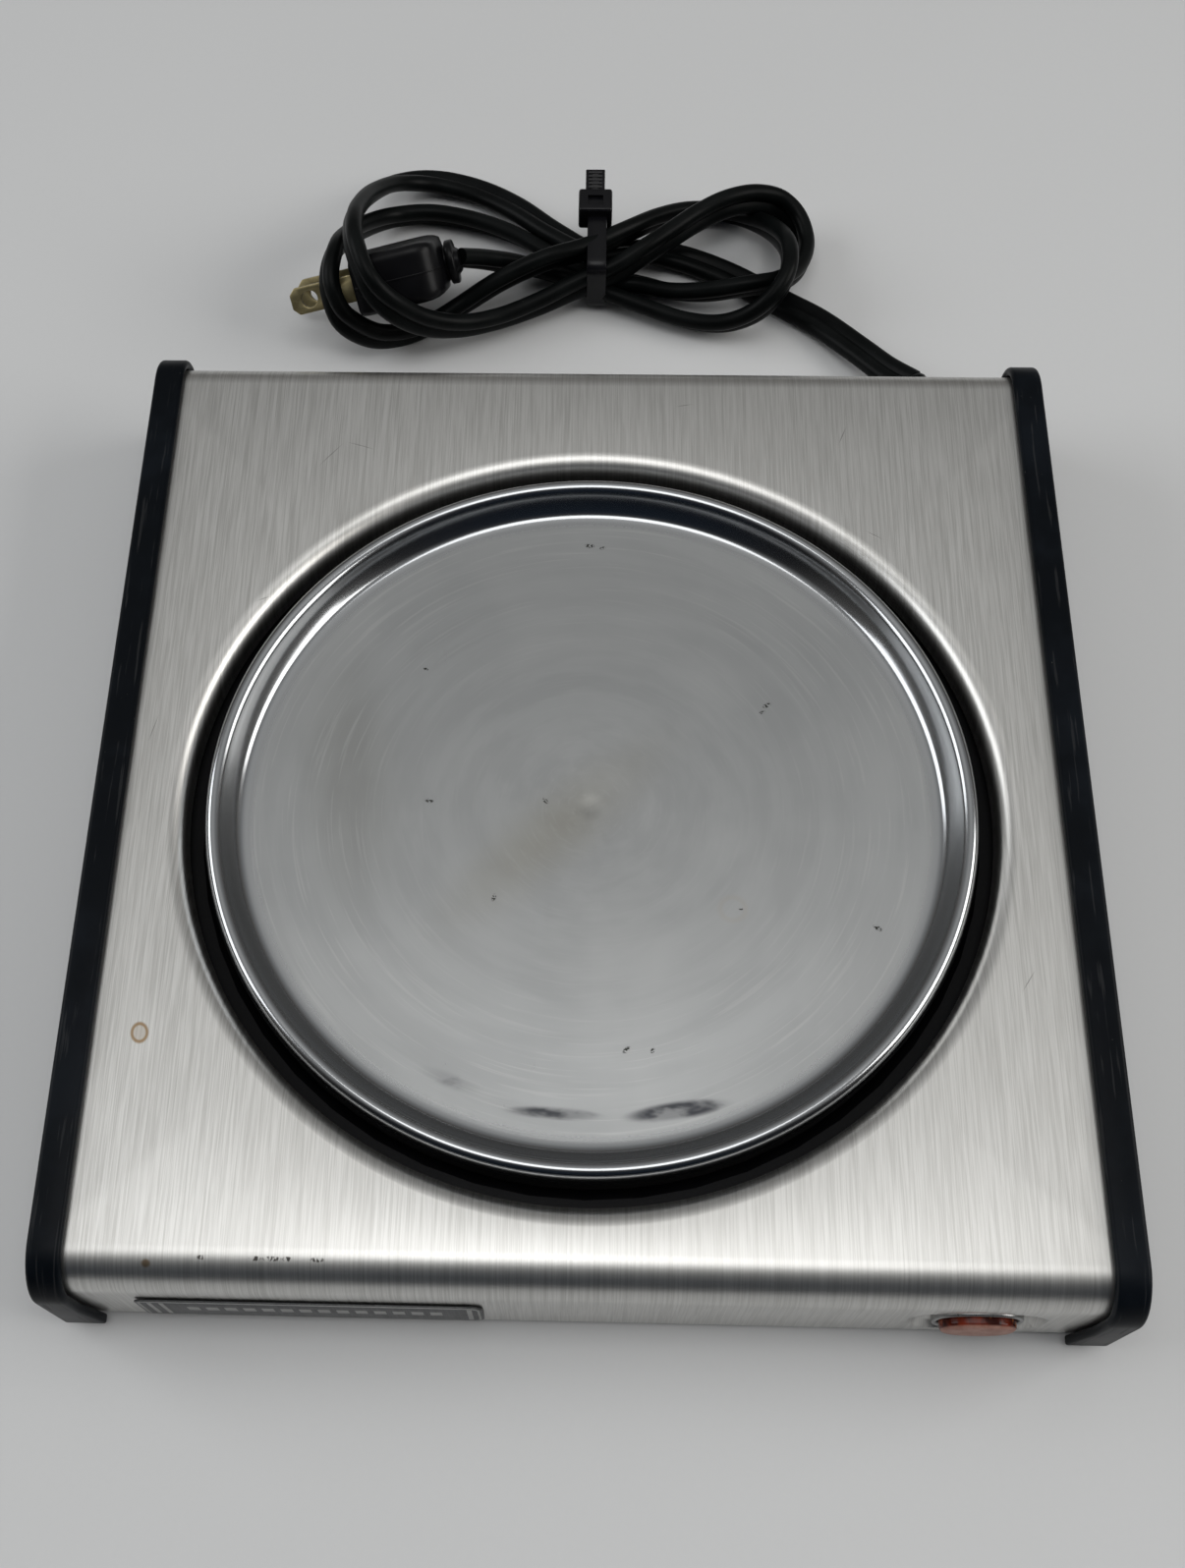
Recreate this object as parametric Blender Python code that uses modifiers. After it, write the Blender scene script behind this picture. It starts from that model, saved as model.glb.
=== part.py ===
"""Electric buffet server: a low, square table warmer with a round hot plate.

The model is an assembly of the pieces that the appliance comes apart into: a bent sheet
case between two moulded end caps, the plate with its element, clamp and pan, the lighted
push switch, the base with its feet, and the mains lead, tied up behind the case.
Metres, +Z up, front towards -Y.  The origin is on the table, under the middle of the case.
"""

from math import cos, pi, radians, sin

import bmesh
import bpy
from mathutils import Matrix, Vector

MM = 0.001
GAP = 0.3 * MM                      # clearance between pieces that touch
OBJECT_NAME = "buffet_server"

# Case: two end caps with the bent sheet between them
WIDTH = 200 * MM
DEPTH = 214 * MM
HEIGHT = 33 * MM
CAP_BOTTOM = 2.0 * MM
CAP_RADIUS = 9.8 * MM
CAP_RIM = 6.4 * MM                  # how far a cap reaches in over the sheet
CAP_WALL = 3.0 * MM
RIM_THICKNESS = 2.0 * MM
SHEET = 0.8 * MM
SHEET_INSET = RIM_THICKNESS + GAP   # outside of the sheet, in from a cap's outline
SHEET_TOP = HEIGHT - SHEET_INSET
SHEET_FRONT = -DEPTH / 2 + SHEET_INSET
SHEET_BOTTOM = 3.0 * MM
LEDGE = 1.6 * MM                    # cap's ledge under the sheet's edge

# Round opening in the sheet, with its rolled lip
PLATE_Y = -6.7 * MM                 # the plate sits a little towards the front
LIP_RADIUS = 81.6 * MM
LIP_ROLL = 4.2 * MM
LIP_BOTTOM = 24.0 * MM
RING_STEPS = 64

# Warming plate
PLATE_RADIUS = 77.7 * MM
PLATE_FLOOR = 27.0 * MM
PLATE_CREST = 32.7 * MM
PLATE_THICKNESS = 1.2 * MM
FLOOR_RADIUS = 71.2 * MM

# Stack under the plate
ELEMENT_RADIUS = 46 * MM
ELEMENT_WIRE = 3.2 * MM
ELEMENT_Z = PLATE_FLOOR - PLATE_THICKNESS - GAP - ELEMENT_WIRE
CLAMP_TOP = ELEMENT_Z - ELEMENT_WIRE - GAP
CLAMP_RADIUS = 56 * MM
PAN_FLOOR = 9.6 * MM
PAN_LEDGE = 22.0 * MM
STUD_RADIUS = 2.5 * MM
TERMINAL_X = 10 * MM                # element ends, either side of the centre line
LEAD_HOLE_Y = PLATE_Y - 67 * MM

# Base
BASE_BOTTOM = 2.6 * MM
BASE_THICKNESS = 1.2 * MM
BASE_TOP = BASE_BOTTOM + BASE_THICKNESS
FOOT_X, FOOT_Y = 88.3 * MM, 92 * MM
SCREW_X, SCREW_Y = 90.5 * MM, 62 * MM

# Push switch in the front face
SWITCH_X, SWITCH_Z = 73 * MM, 12.9 * MM
BUTTON_SIZE = (14 * MM, 11 * MM)
BUTTON_PROUD = 2.1 * MM
BUTTON_TRAVEL = 1.8 * MM
COLLAR = 1.4 * MM                   # width of the bright collar round the button
STEM_X = SWITCH_X - 3.4 * MM
LAMP_X = SWITCH_X + 3.9 * MM
SWITCH_FRONT = SHEET_FRONT + 5.2 * MM
SWITCH_BACK = SWITCH_FRONT + 27 * MM

LEAD_END_GAP = 0.9 * MM             # a wire's crimped end, off its tab

# Mains lead
LEAD_RADIUS = 2.1 * MM
EXIT_X, EXIT_Z = 84 * MM, 9.5 * MM
RELIEF_PATH = [(84, 97.5, 9.5), (84, 101, 9.5), (84, 105.2, 9.5), (83.2, 109.5, 9.3),
               (80.6, 114, 8.6), (76.6, 118, 7.4)]
LEAD_ROUTE = [(76.4, 118.2, 7.3), (71.0, 123.9, 5.5), (65.2, 131.2, 3.6), (58.6, 138.5, 2.6),
              (54.05, 142.75, 2.4)]
PLUG_CENTRE = Vector((-46.7, 144.0, 15.9)) * MM
PLUG_HEADING = radians(8)
PLUG_LIFT = radians(11)             # its neck is held up by the bundle
PLUG_TILT = radians(-42)            # it leans on one long edge
PLUG_THICKNESS = 14 * MM
PLUG_FACE = -12 * MM
PLUG_SHOULDER = 9.6 * MM
PLUG_NECK = (5.2 * MM, 12.8 * MM)   # radius and end of the neck's collar
BLADE_LENGTH = 16.6 * MM
BLADE_OFFSET = 6.35 * MM
BLADE_THICKNESS = 1.5 * MM
TIE_Y = (146.0 * MM, 161.4 * MM)    # outside of the strap round the bundle
TIE_Z = (0.4 * MM, 16.0 * MM)
TIE_STRAP = (4.8 * MM, 1.3 * MM)


# ---------------------------------------------------------------- helpers

def clear_scene():
    for obj in list(bpy.data.objects):
        bpy.data.objects.remove(obj)


def collection(name, hidden=False):
    group = bpy.data.collections.new(name)
    bpy.context.scene.collection.children.link(group)
    group.hide_render = hidden
    return group


def material(name, colour, roughness, metallic=0.0):
    mat = bpy.data.materials.new(name)
    mat.use_nodes = True
    shader = mat.node_tree.nodes["Principled BSDF"]
    shader.inputs["Base Color"].default_value = (*colour, 1)
    shader.inputs["Roughness"].default_value = roughness
    shader.inputs["Metallic"].default_value = metallic
    return mat


def smooth(obj, angle=35):
    obj.data.shade_smooth()
    obj.data.set_sharp_from_angle(angle=radians(angle))


def place(obj, name, group=None):
    """Put an object in its collection, under its name."""
    for old in list(obj.users_collection):
        old.objects.unlink(obj)
    (group or PARTS).objects.link(obj)
    obj.name = name
    obj.data.name = name
    return obj


def piece(obj, name, finish):
    place(obj, name)
    obj.data.materials.clear()
    obj.data.materials.append(FINISHES[finish])
    return obj


def as_cutter(obj, name):
    place(obj, name, CUTTERS)
    obj.hide_render = True
    obj.display_type = "WIRE"
    return obj


def boolean(target, other, operation="DIFFERENCE"):
    as_cutter(other, target.name + "_" + operation.lower())
    mod = target.modifiers.new(operation.lower(), "BOOLEAN")
    mod.operation = operation
    mod.object = other
    return target


def box(low, high, bevel=0.0):
    """A box between two corners."""
    low, high = Vector(low), Vector(high)
    bpy.ops.mesh.primitive_cube_add(size=1, location=(low + high) / 2)
    obj = bpy.context.object
    size = Matrix.Diagonal((*(high - low), 1))
    obj.data.transform(size)
    if bevel:
        mod = obj.modifiers.new("bevel", "BEVEL")
        mod.width = bevel
        mod.segments = 2
    return obj


def rod(radius, start, end, steps=24):
    """A cylinder between two points."""
    start, end = Vector(start), Vector(end)
    bpy.ops.mesh.primitive_cylinder_add(vertices=steps, radius=radius,
                                        depth=(end - start).length,
                                        location=(start + end) / 2)
    obj = bpy.context.object
    obj.rotation_mode = "QUATERNION"
    obj.rotation_quaternion = (end - start).to_track_quat("Z", "Y")
    smooth(obj)
    return obj


def turned(profile, centre=(0, 0, 0), steps=RING_STEPS, closed=True, wall=0.0):
    """Turn a profile of (radius, height) about +Z, down its outer side; wall thickens it."""
    points = [(r, 0, z) for r, z in profile]
    edges = [(i, i + 1) for i in range(len(points) - 1)]
    if closed:
        edges.append((len(points) - 1, 0))
    mesh = bpy.data.meshes.new("profile")
    mesh.from_pydata(points, edges, [])
    obj = bpy.data.objects.new("turned", mesh)
    PARTS.objects.link(obj)
    obj.location = centre
    mod = obj.modifiers.new("screw", "SCREW")
    mod.steps = mod.render_steps = steps
    mod.use_merge_vertices = True
    mod.merge_threshold = 0.00001
    mod.use_smooth_shade = True
    if wall:
        mod = obj.modifiers.new("wall", "SOLIDIFY")
        mod.thickness = wall
        mod.offset = -1
        mod.use_even_offset = True
    return obj


def to_mesh(curve_obj):
    """Turn a curve into a welded mesh in the same place."""
    bpy.context.view_layer.update()
    graph = bpy.context.evaluated_depsgraph_get()
    mesh = bpy.data.meshes.new_from_object(curve_obj.evaluated_get(graph))
    obj = bpy.data.objects.new("solid", mesh)
    PARTS.objects.link(obj)
    obj.matrix_world = curve_obj.matrix_world
    bpy.data.objects.remove(curve_obj)
    work = bmesh.new()
    work.from_mesh(mesh)
    bmesh.ops.remove_doubles(work, verts=work.verts, dist=0.00001)
    work.to_mesh(mesh)
    work.free()
    return obj


def slab(outline, thickness, location=(0, 0, 0), rotation=(0, 0, 0)):
    """A flat outline, thickened about its own plane."""
    curve = bpy.data.curves.new("outline", "CURVE")
    curve.dimensions = "2D"
    curve.fill_mode = "BOTH"
    curve.extrude = thickness / 2
    spline = curve.splines.new("POLY")
    spline.points.add(len(outline) - 1)
    for point, (x, y) in zip(spline.points, outline):
        point.co = (x, y, 0, 1)
    spline.use_cyclic_u = True
    obj = bpy.data.objects.new("slab", curve)
    PARTS.objects.link(obj)
    obj.location = location
    obj.rotation_euler = rotation
    return to_mesh(obj)


ACROSS = (pi / 2, 0, pi / 2)        # an outline in the Y-Z plane, thickened along X
UPRIGHT = (pi / 2, 0, 0)            # an outline in the X-Z plane, thickened along Y


def smooth_route(points, spacing):
    """Points on a smooth curve through the route's own points, evenly spaced."""
    points = [Vector(p) for p in points]
    ends = [2 * points[0] - points[1]] + points + [2 * points[-1] - points[-2]]
    fine = []
    for a, b, c, d in zip(ends, ends[1:], ends[2:], ends[3:]):
        for i in range(12):
            t = i / 12
            fine.append(0.5 * (2 * b + (c - a) * t + (2 * a - 5 * b + 4 * c - d) * t ** 2
                               + (3 * b - a - 3 * c + d) * t ** 3))
    fine.append(points[-1])
    lengths = [0.0]
    for a, b in zip(fine, fine[1:]):
        lengths.append(lengths[-1] + (b - a).length)
    count = max(2, round(lengths[-1] / spacing))
    route, k = [], 0
    for i in range(count + 1):
        want = lengths[-1] * i / count
        while k < len(fine) - 2 and lengths[k + 1] < want:
            k += 1
        share = (want - lengths[k]) / (lengths[k + 1] - lengths[k])
        route.append(fine[k].lerp(fine[k + 1], share))
    return route


def tube(points, radius, radii=None, resolution=2):
    """A round tube along points; radii, if given, scales the radius at each point."""
    curve = bpy.data.curves.new("tube", "CURVE")
    curve.dimensions = "3D"
    curve.bevel_depth = radius
    curve.bevel_resolution = resolution
    curve.use_fill_caps = True
    spline = curve.splines.new("POLY")
    spline.points.add(len(points) - 1)
    for i, (x, y, z) in enumerate(points):
        spline.points[i].co = (x, y, z, 1)
        spline.points[i].radius = radii[i] if radii else 1.0
    spline.use_smooth = True
    obj = bpy.data.objects.new("tube", curve)
    PARTS.objects.link(obj)
    return obj


def mm(points):
    return [tuple(v * MM for v in p) for p in points]


def arc(cx, cy, radius, start, end, steps):
    """Points on an arc; angles in degrees."""
    angles = [radians(start + (end - start) * i / steps) for i in range(steps + 1)]
    return [(cx + radius * cos(a), cy + radius * sin(a)) for a in angles]


def side_outline(inset, bottom=CAP_BOTTOM, steps=6):
    """The case seen from the side (y, z): square at the table, rounded at the top."""
    half, top = DEPTH / 2 - inset, HEIGHT - inset
    radius = CAP_RADIUS - inset
    return ([(-half, bottom), (half, bottom)]
            + arc(half - radius, top - radius, radius, 0, 90, steps)
            + arc(radius - half, top - radius, radius, 90, 180, steps))


def oval(width, height, steps=24):
    """An oval between an ellipse and a rounded bar, as the button has."""
    points = []
    for i in range(steps):
        a = 2 * pi * i / steps
        x, y = cos(a), sin(a)
        squareness = (abs(x) ** 2.4 + abs(y) ** 2.4) ** (-1 / 2.4)
        points.append((width / 2 * x * squareness, height / 2 * y * squareness))
    return points


def oval_bar(size, front, back, x=SWITCH_X, z=SWITCH_Z):
    """An oval bar that runs from front to back."""
    return slab(oval(*size), back - front, (x, (front + back) / 2, z), UPRIGHT)


# ---------------------------------------------------------------- case

def casing_wrap():
    """Sheet bent over front and back, with a rolled lip round the plate opening."""
    work = bmesh.new()
    half_x = WIDTH / 2 - CAP_WALL - GAP
    radius = CAP_RADIUS - SHEET_INSET
    flat_y = -SHEET_FRONT - radius
    per_side = RING_STEPS // 4

    def corner(k):
        """Point k on the flat top's edge, from the front left corner, anticlockwise."""
        side, step = divmod(k, per_side)
        t = -1 + 2 * step / per_side
        return [(t * half_x, -flat_y), (half_x, t * flat_y),
                (-t * half_x, flat_y), (-half_x, -t * flat_y)][side]

    def row(points):
        return [work.verts.new(p) for p in points]

    def join_rows(upper, lower, closed):
        count = len(upper) if closed else len(upper) - 1
        for i in range(count):
            j = (i + 1) % len(upper)
            work.faces.new((upper[i], lower[i], lower[j], upper[j]))

    edge = row([(*corner(k), SHEET_TOP) for k in range(RING_STEPS)])
    angles = [radians(-135 + 360 * k / RING_STEPS) for k in range(RING_STEPS)]
    previous = edge
    rings = [(LIP_RADIUS + LIP_ROLL * (1 - sin(radians(a))),
              SHEET_TOP - LIP_ROLL * (1 - cos(radians(a)))) for a in (0, 22, 45, 68, 90)]
    rings.append((LIP_RADIUS, LIP_BOTTOM))
    for ring_radius, z in rings:
        ring = row([(ring_radius * cos(a), PLATE_Y + ring_radius * sin(a), z) for a in angles])
        join_rows(ring, previous, True)
        previous = ring
    for way, start in ((-1, 0), (1, 2 * per_side)):
        upper = [edge[(start + k) % RING_STEPS] for k in range(per_side + 1)]
        xs = [v.co.x for v in upper]
        bend = [(flat_y + radius * sin(radians(a)), SHEET_TOP - radius * (1 - cos(radians(a))))
                for a in (18, 36, 54, 72, 90)]
        bend.append((flat_y + radius, SHEET_BOTTOM))
        for y, z in bend:
            lower = row([(x, way * y, z) for x in xs])
            join_rows(upper, lower, False)
            upper = lower
    bmesh.ops.recalc_face_normals(work, faces=work.faces)
    if max(work.faces, key=lambda f: f.calc_center_median().z).normal.z < 0:
        bmesh.ops.reverse_faces(work, faces=work.faces)
    mesh = bpy.data.meshes.new("casing_wrap")
    work.to_mesh(mesh)
    work.free()
    obj = bpy.data.objects.new("casing_wrap", mesh)
    PARTS.objects.link(obj)
    smooth(obj)
    wall = obj.modifiers.new("wall", "SOLIDIFY")
    wall.thickness = SHEET
    wall.offset = -1
    wall.use_even_offset = True
    piece(obj, "casing_wrap", "brushed_steel")
    opening = (BUTTON_SIZE[0] + 2 * COLLAR + 2 * GAP, BUTTON_SIZE[1] + 2 * COLLAR + 2 * GAP)
    boolean(obj, oval_bar(opening, SHEET_FRONT - 3 * MM, SHEET_FRONT + 3 * MM))
    exit_hole = rod(5.2 * MM, (EXIT_X, -SHEET_FRONT - 3 * MM, EXIT_Z),
                    (EXIT_X, -SHEET_FRONT + 3 * MM, EXIT_Z))
    boolean(obj, exit_hole)


def end_cap(name, side):
    """Moulded cap: outer wall, a rim over the sheet, a ledge under it and screw bosses."""
    inner = WIDTH / 2 - CAP_RIM
    wall_inside = WIDTH / 2 - CAP_WALL
    obj = slab(side_outline(0), CAP_WALL, (side * (WIDTH / 2 - CAP_WALL / 2), 0, 0), ACROSS)
    piece(obj, name, "black_plastic")
    reach = wall_inside + 1 * MM - inner
    middle = side * (inner + reach / 2)
    for outside, inside in ((0, RIM_THICKNESS),
                            (SHEET_INSET + SHEET + GAP, SHEET_INSET + SHEET + GAP + LEDGE)):
        low = CAP_BOTTOM if outside == 0 else BASE_TOP + GAP
        band = slab(side_outline(outside, low), reach, (middle, 0, 0), ACROSS)
        band.name = name + "_band"
        boolean(band, slab(side_outline(inside, low - 5 * MM), 3 * reach, (middle, 0, 0), ACROSS))
        boolean(obj, band, "UNION")
    for y in (-SCREW_Y, SCREW_Y):
        boss = box((side * SCREW_X - 5 * MM, y - 5 * MM, BASE_TOP + GAP),
                   (side * SCREW_X + 5 * MM, y + 5 * MM, 13 * MM))
        reach_wall = box((min(side * SCREW_X, side * (wall_inside + 1 * MM)), y - 5 * MM,
                          BASE_TOP + GAP),
                         (max(side * SCREW_X, side * (wall_inside + 1 * MM)), y + 5 * MM, 13 * MM))
        boolean(boss, reach_wall, "UNION")
        boolean(obj, boss, "UNION")
        boolean(obj, rod(1.8 * MM, (side * SCREW_X, y, 0), (side * SCREW_X, y, 11 * MM), 16))
    smooth(obj)


def base_plate():
    """Pressed steel base, with foot and screw holes and two rows of vent slots."""
    half_x = WIDTH / 2 - CAP_WALL - GAP
    half_y = DEPTH / 2 - SHEET_INSET - SHEET - GAP - LEDGE - GAP
    obj = box((-half_x, -half_y, BASE_BOTTOM), (half_x, half_y, BASE_TOP))
    piece(obj, "base_plate", "zinc_steel")
    low, high = BASE_BOTTOM - 2 * MM, BASE_TOP + 2 * MM
    for x in (-1, 1):
        for y in (-1, 1):
            boolean(obj, rod(2.8 * MM, (x * FOOT_X, y * FOOT_Y, low), (x * FOOT_X, y * FOOT_Y, high),
                             16))
            boolean(obj, rod(1.8 * MM, (x * SCREW_X, y * SCREW_Y, low),
                             (x * SCREW_X, y * SCREW_Y, high), 16))
    for row_y in (-34 * MM, 34 * MM):
        for k in range(-3, 4):
            x = k * 14 * MM
            boolean(obj, box((x - 2 * MM, row_y - 14 * MM, low), (x + 2 * MM, row_y + 14 * MM, high)))


def foot(name, x, y):
    """Soft foot, pushed through the base from below and held by its own head."""
    stem, head = 2.4 * MM, 3.5 * MM
    profile = [(0, 5.8 * MM), (head - 1 * MM, 5.8 * MM), (head, BASE_TOP + GAP),
               (stem, BASE_TOP + GAP), (stem, BASE_BOTTOM - GAP), (7 * MM, BASE_BOTTOM - GAP),
               (6.4 * MM, 0), (0, 0)]
    obj = turned(profile, (x, y, 0), 24, closed=False)
    piece(obj, name, "grey_rubber")


def base_screw(name, x, y):
    """Pan-head screw, driven up through the base into the cap's boss."""
    head_top = BASE_BOTTOM - GAP
    profile = [(0, 10.4 * MM), (1.4 * MM, 10.4 * MM), (1.4 * MM, head_top), (3 * MM, head_top),
               (2.8 * MM, 1.3 * MM), (1.6 * MM, 0.9 * MM), (0, 0.9 * MM)]
    obj = turned(profile, (x, y, 0), 20, closed=False)
    piece(obj, name, "zinc_steel")


# ---------------------------------------------------------------- plate and element

def warming_plate():
    """Spun plate: flat floor with a weld mark in the middle, coved side and rolled rim."""
    slope_top = 74.5 * MM
    profile = [(0, PLATE_FLOOR - 0.4 * MM), (2 * MM, PLATE_FLOOR - 0.2 * MM),
               (3.5 * MM, PLATE_FLOOR), (FLOOR_RADIUS - 1 * MM, PLATE_FLOOR),
               (FLOOR_RADIUS, PLATE_FLOOR + 0.4 * MM), (slope_top - 0.8 * MM, PLATE_CREST - 1.4 * MM),
               (slope_top, PLATE_CREST - 0.4 * MM), (slope_top + 1 * MM, PLATE_CREST),
               (PLATE_RADIUS - 1.2 * MM, PLATE_CREST - 0.4 * MM),
               (PLATE_RADIUS - 0.2 * MM, PLATE_CREST - 1.8 * MM),
               (PLATE_RADIUS, PLATE_FLOOR + 1.8 * MM)]
    obj = turned(profile, (0, PLATE_Y, 0), closed=False, wall=PLATE_THICKNESS)
    piece(obj, "warming_plate", "satin_plate")


def insulating_ring():
    """Heat-resistant ring that carries the plate's rim on the pan's ledge."""
    inside, outside = 74.0 * MM, 77.3 * MM
    low, high = PAN_LEDGE + SHEET + GAP, PLATE_FLOOR + 1.3 * MM
    obj = turned([(outside, high), (outside, low), (inside, low), (inside, high)],
                 (0, PLATE_Y, 0))
    piece(obj, "insulating_ring", "black_ceramic")


def reflector_pan():
    """Deep black pan under the plate; its ledge lies under the case's rolled lip."""
    profile = [(3.1 * MM, PAN_FLOOR + SHEET), (69.5 * MM, PAN_FLOOR + SHEET),
               (78.2 * MM, PAN_LEDGE + SHEET - 1 * MM), (79.2 * MM, PAN_LEDGE + SHEET),
               (86 * MM, PAN_LEDGE + SHEET)]
    obj = turned(profile, (0, PLATE_Y, 0), 48, closed=False, wall=SHEET)
    piece(obj, "reflector_pan", "black_enamel")
    for x in (-TERMINAL_X, TERMINAL_X):
        boolean(obj, rod(3 * MM, (x, LEAD_HOLE_Y, 4 * MM), (x, LEAD_HOLE_Y, 16 * MM), 16))


def heating_element():
    """Sheathed element: an open ring with both ends turned outwards at the front."""
    gap_angle = 16
    turns = arc(0, PLATE_Y, ELEMENT_RADIUS, -90 + gap_angle, 270 - gap_angle, 44)
    right = [(TERMINAL_X, PLATE_Y - 62.5 * MM), (TERMINAL_X, PLATE_Y - 52 * MM)]
    left = [(-x, y) for x, y in reversed(right)]
    points = [(x, y, ELEMENT_Z) for x, y in right + turns + left]
    obj = tube(points, ELEMENT_WIRE)
    piece(obj, "heating_element", "element_sheath")


def element_clamp():
    """Pressed disc that holds the element up against the plate."""
    low = CLAMP_TOP - 1 * MM
    obj = turned([(CLAMP_RADIUS, CLAMP_TOP), (CLAMP_RADIUS, low), (3.1 * MM, low),
                  (3.1 * MM, CLAMP_TOP)], (0, PLATE_Y, 0), 48)
    piece(obj, "element_clamp", "zinc_steel")


def centre_stud():
    """Stud welded under the plate, its spacer, spring washer and nut."""
    centre = (0, PLATE_Y, 0)
    top = PLATE_FLOOR - 0.4 * MM - PLATE_THICKNESS - GAP
    stud = rod(STUD_RADIUS, (0, PLATE_Y, 4.6 * MM), (0, PLATE_Y, top))
    piece(stud, "plate_stud", "zinc_steel")
    low, high = PAN_FLOOR + SHEET + GAP, CLAMP_TOP - 1 * MM - GAP
    spacer = turned([(5.5 * MM, high), (5.5 * MM, low), (2.9 * MM, low), (2.9 * MM, high)], centre, 24)
    piece(spacer, "stud_spacer", "zinc_steel")
    washer_top = PAN_FLOOR - GAP
    washer = turned([(5 * MM, washer_top), (5 * MM, washer_top - 1 * MM),
                     (2.8 * MM, washer_top - 1 * MM), (2.8 * MM, washer_top)], centre, 24)
    piece(washer, "spring_washer", "zinc_steel")
    nut_top = washer_top - 1 * MM - GAP
    hexagon = [(4.6 * MM * cos(radians(60 * k)), 4.6 * MM * sin(radians(60 * k))) for k in range(6)]
    nut = slab(hexagon, 3 * MM, (0, PLATE_Y, nut_top - 1.5 * MM))
    piece(nut, "plate_nut", "zinc_steel")
    boolean(nut, rod(STUD_RADIUS + GAP, (0, PLATE_Y, 0), (0, PLATE_Y, 20 * MM)))


def thermostat():
    """Bimetal thermostat under the plate, behind the element, on its strap."""
    y = PLATE_Y + 63 * MM
    top = PLATE_FLOOR - PLATE_THICKNESS - GAP
    body = turned([(0, top), (6 * MM, top), (6 * MM, top - 5 * MM), (4.5 * MM, top - 5 * MM),
                   (4.5 * MM, top - 8 * MM), (0, top - 8 * MM)], (0, y, 0), 24, closed=False)
    piece(body, "thermostat", "brown_phenolic")
    strap_top = top - 8 * MM - GAP
    strap = box((-4 * MM, y - 14 * MM, strap_top - 1 * MM), (4 * MM, y + 5 * MM, strap_top))
    piece(strap, "thermostat_strap", "zinc_steel")


def thermal_fuse():
    """Thermal fuse in its sleeve, beside the thermostat."""
    y, z = PLATE_Y + 61 * MM, PLATE_FLOOR - PLATE_THICKNESS - GAP - 2 * MM
    obj = rod(1.9 * MM, (-24 * MM, y, z), (-10 * MM, y, z), 16)
    piece(obj, "thermal_fuse", "white_sleeve")


# ---------------------------------------------------------------- switch

def power_button():
    """Lighted push button: an oval, slightly domed lens on a stem."""
    front = SHEET_FRONT - BUTTON_PROUD
    back = SWITCH_FRONT + 4.2 * MM
    obj = oval_bar(BUTTON_SIZE, front, back)
    dome = obj.modifiers.new("edge", "BEVEL")
    dome.width = 0.6 * MM
    dome.segments = 2
    dome.limit_method = "ANGLE"
    dome.angle_limit = radians(50)
    piece(obj, "power_button", "amber_lens")
    stem = rod(2.2 * MM, (STEM_X, back - 1 * MM, SWITCH_Z), (STEM_X, back + 12 * MM, SWITCH_Z), 16)
    boolean(obj, stem, "UNION")
    smooth(obj)


def switch_collar():
    """Bright oval collar in the case's opening, round the button."""
    outer = (BUTTON_SIZE[0] + 2 * COLLAR, BUTTON_SIZE[1] + 2 * COLLAR)
    inner = (BUTTON_SIZE[0] + 2 * GAP, BUTTON_SIZE[1] + 2 * GAP)
    obj = oval_bar(outer, SHEET_FRONT - 0.2 * MM, SWITCH_FRONT - GAP)
    piece(obj, "switch_collar", "bright_trim")
    boolean(obj, oval_bar(inner, SHEET_FRONT - 3 * MM, SWITCH_FRONT + 3 * MM))
    smooth(obj)


def switch_body():
    """Switch block behind the collar, open at the front for button, spring and lamp."""
    low = (SWITCH_X - 11 * MM, SWITCH_FRONT, SWITCH_Z - 8.3 * MM)
    high = (SWITCH_X + 11 * MM, SWITCH_BACK, SWITCH_Z + 8.6 * MM)
    obj = box(low, high)
    piece(obj, "switch_body", "black_plastic")
    pocket = (BUTTON_SIZE[0] + 2 * GAP, BUTTON_SIZE[1] + 2 * GAP)
    boolean(obj, oval_bar(pocket, SWITCH_FRONT - 2 * MM, SWITCH_FRONT + 7 * MM))
    spring_seat = SWITCH_FRONT + 13.5 * MM
    boolean(obj, rod(3.9 * MM, (STEM_X, SWITCH_FRONT + 2 * MM, SWITCH_Z), (STEM_X, spring_seat, SWITCH_Z),
                     20))
    boolean(obj, rod(2.5 * MM, (STEM_X, SWITCH_FRONT + 2 * MM, SWITCH_Z),
                     (STEM_X, SWITCH_FRONT + 21 * MM, SWITCH_Z), 16))
    boolean(obj, rod(2.4 * MM, (LAMP_X, SWITCH_FRONT + 2 * MM, SWITCH_Z),
                     (LAMP_X, SWITCH_FRONT + 17 * MM, SWITCH_Z), 16))


def button_spring():
    """Return spring on the button's stem."""
    wire, radius, turns, per_turn = 0.35 * MM, 3.1 * MM, 5, 12
    start, end = SWITCH_FRONT + 4.2 * MM + GAP + wire, SWITCH_FRONT + 13.5 * MM - GAP - wire
    points = []
    for i in range(turns * per_turn + 1):
        a = 2 * pi * i / per_turn
        y = start + (end - start) * i / (turns * per_turn)
        points.append((STEM_X + radius * cos(a), y, SWITCH_Z + radius * sin(a)))
    piece(tube(points, wire, resolution=1), "button_spring", "zinc_steel")


def neon_lamp():
    """Small neon lamp that lights the button from behind."""
    front = SWITCH_FRONT + 4.2 * MM + BUTTON_TRAVEL + 0.4 * MM
    obj = rod(2.0 * MM, (LAMP_X, front, SWITCH_Z), (LAMP_X, front + 10 * MM, SWITCH_Z), 16)
    piece(obj, "neon_lamp", "clear_glass")


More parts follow.
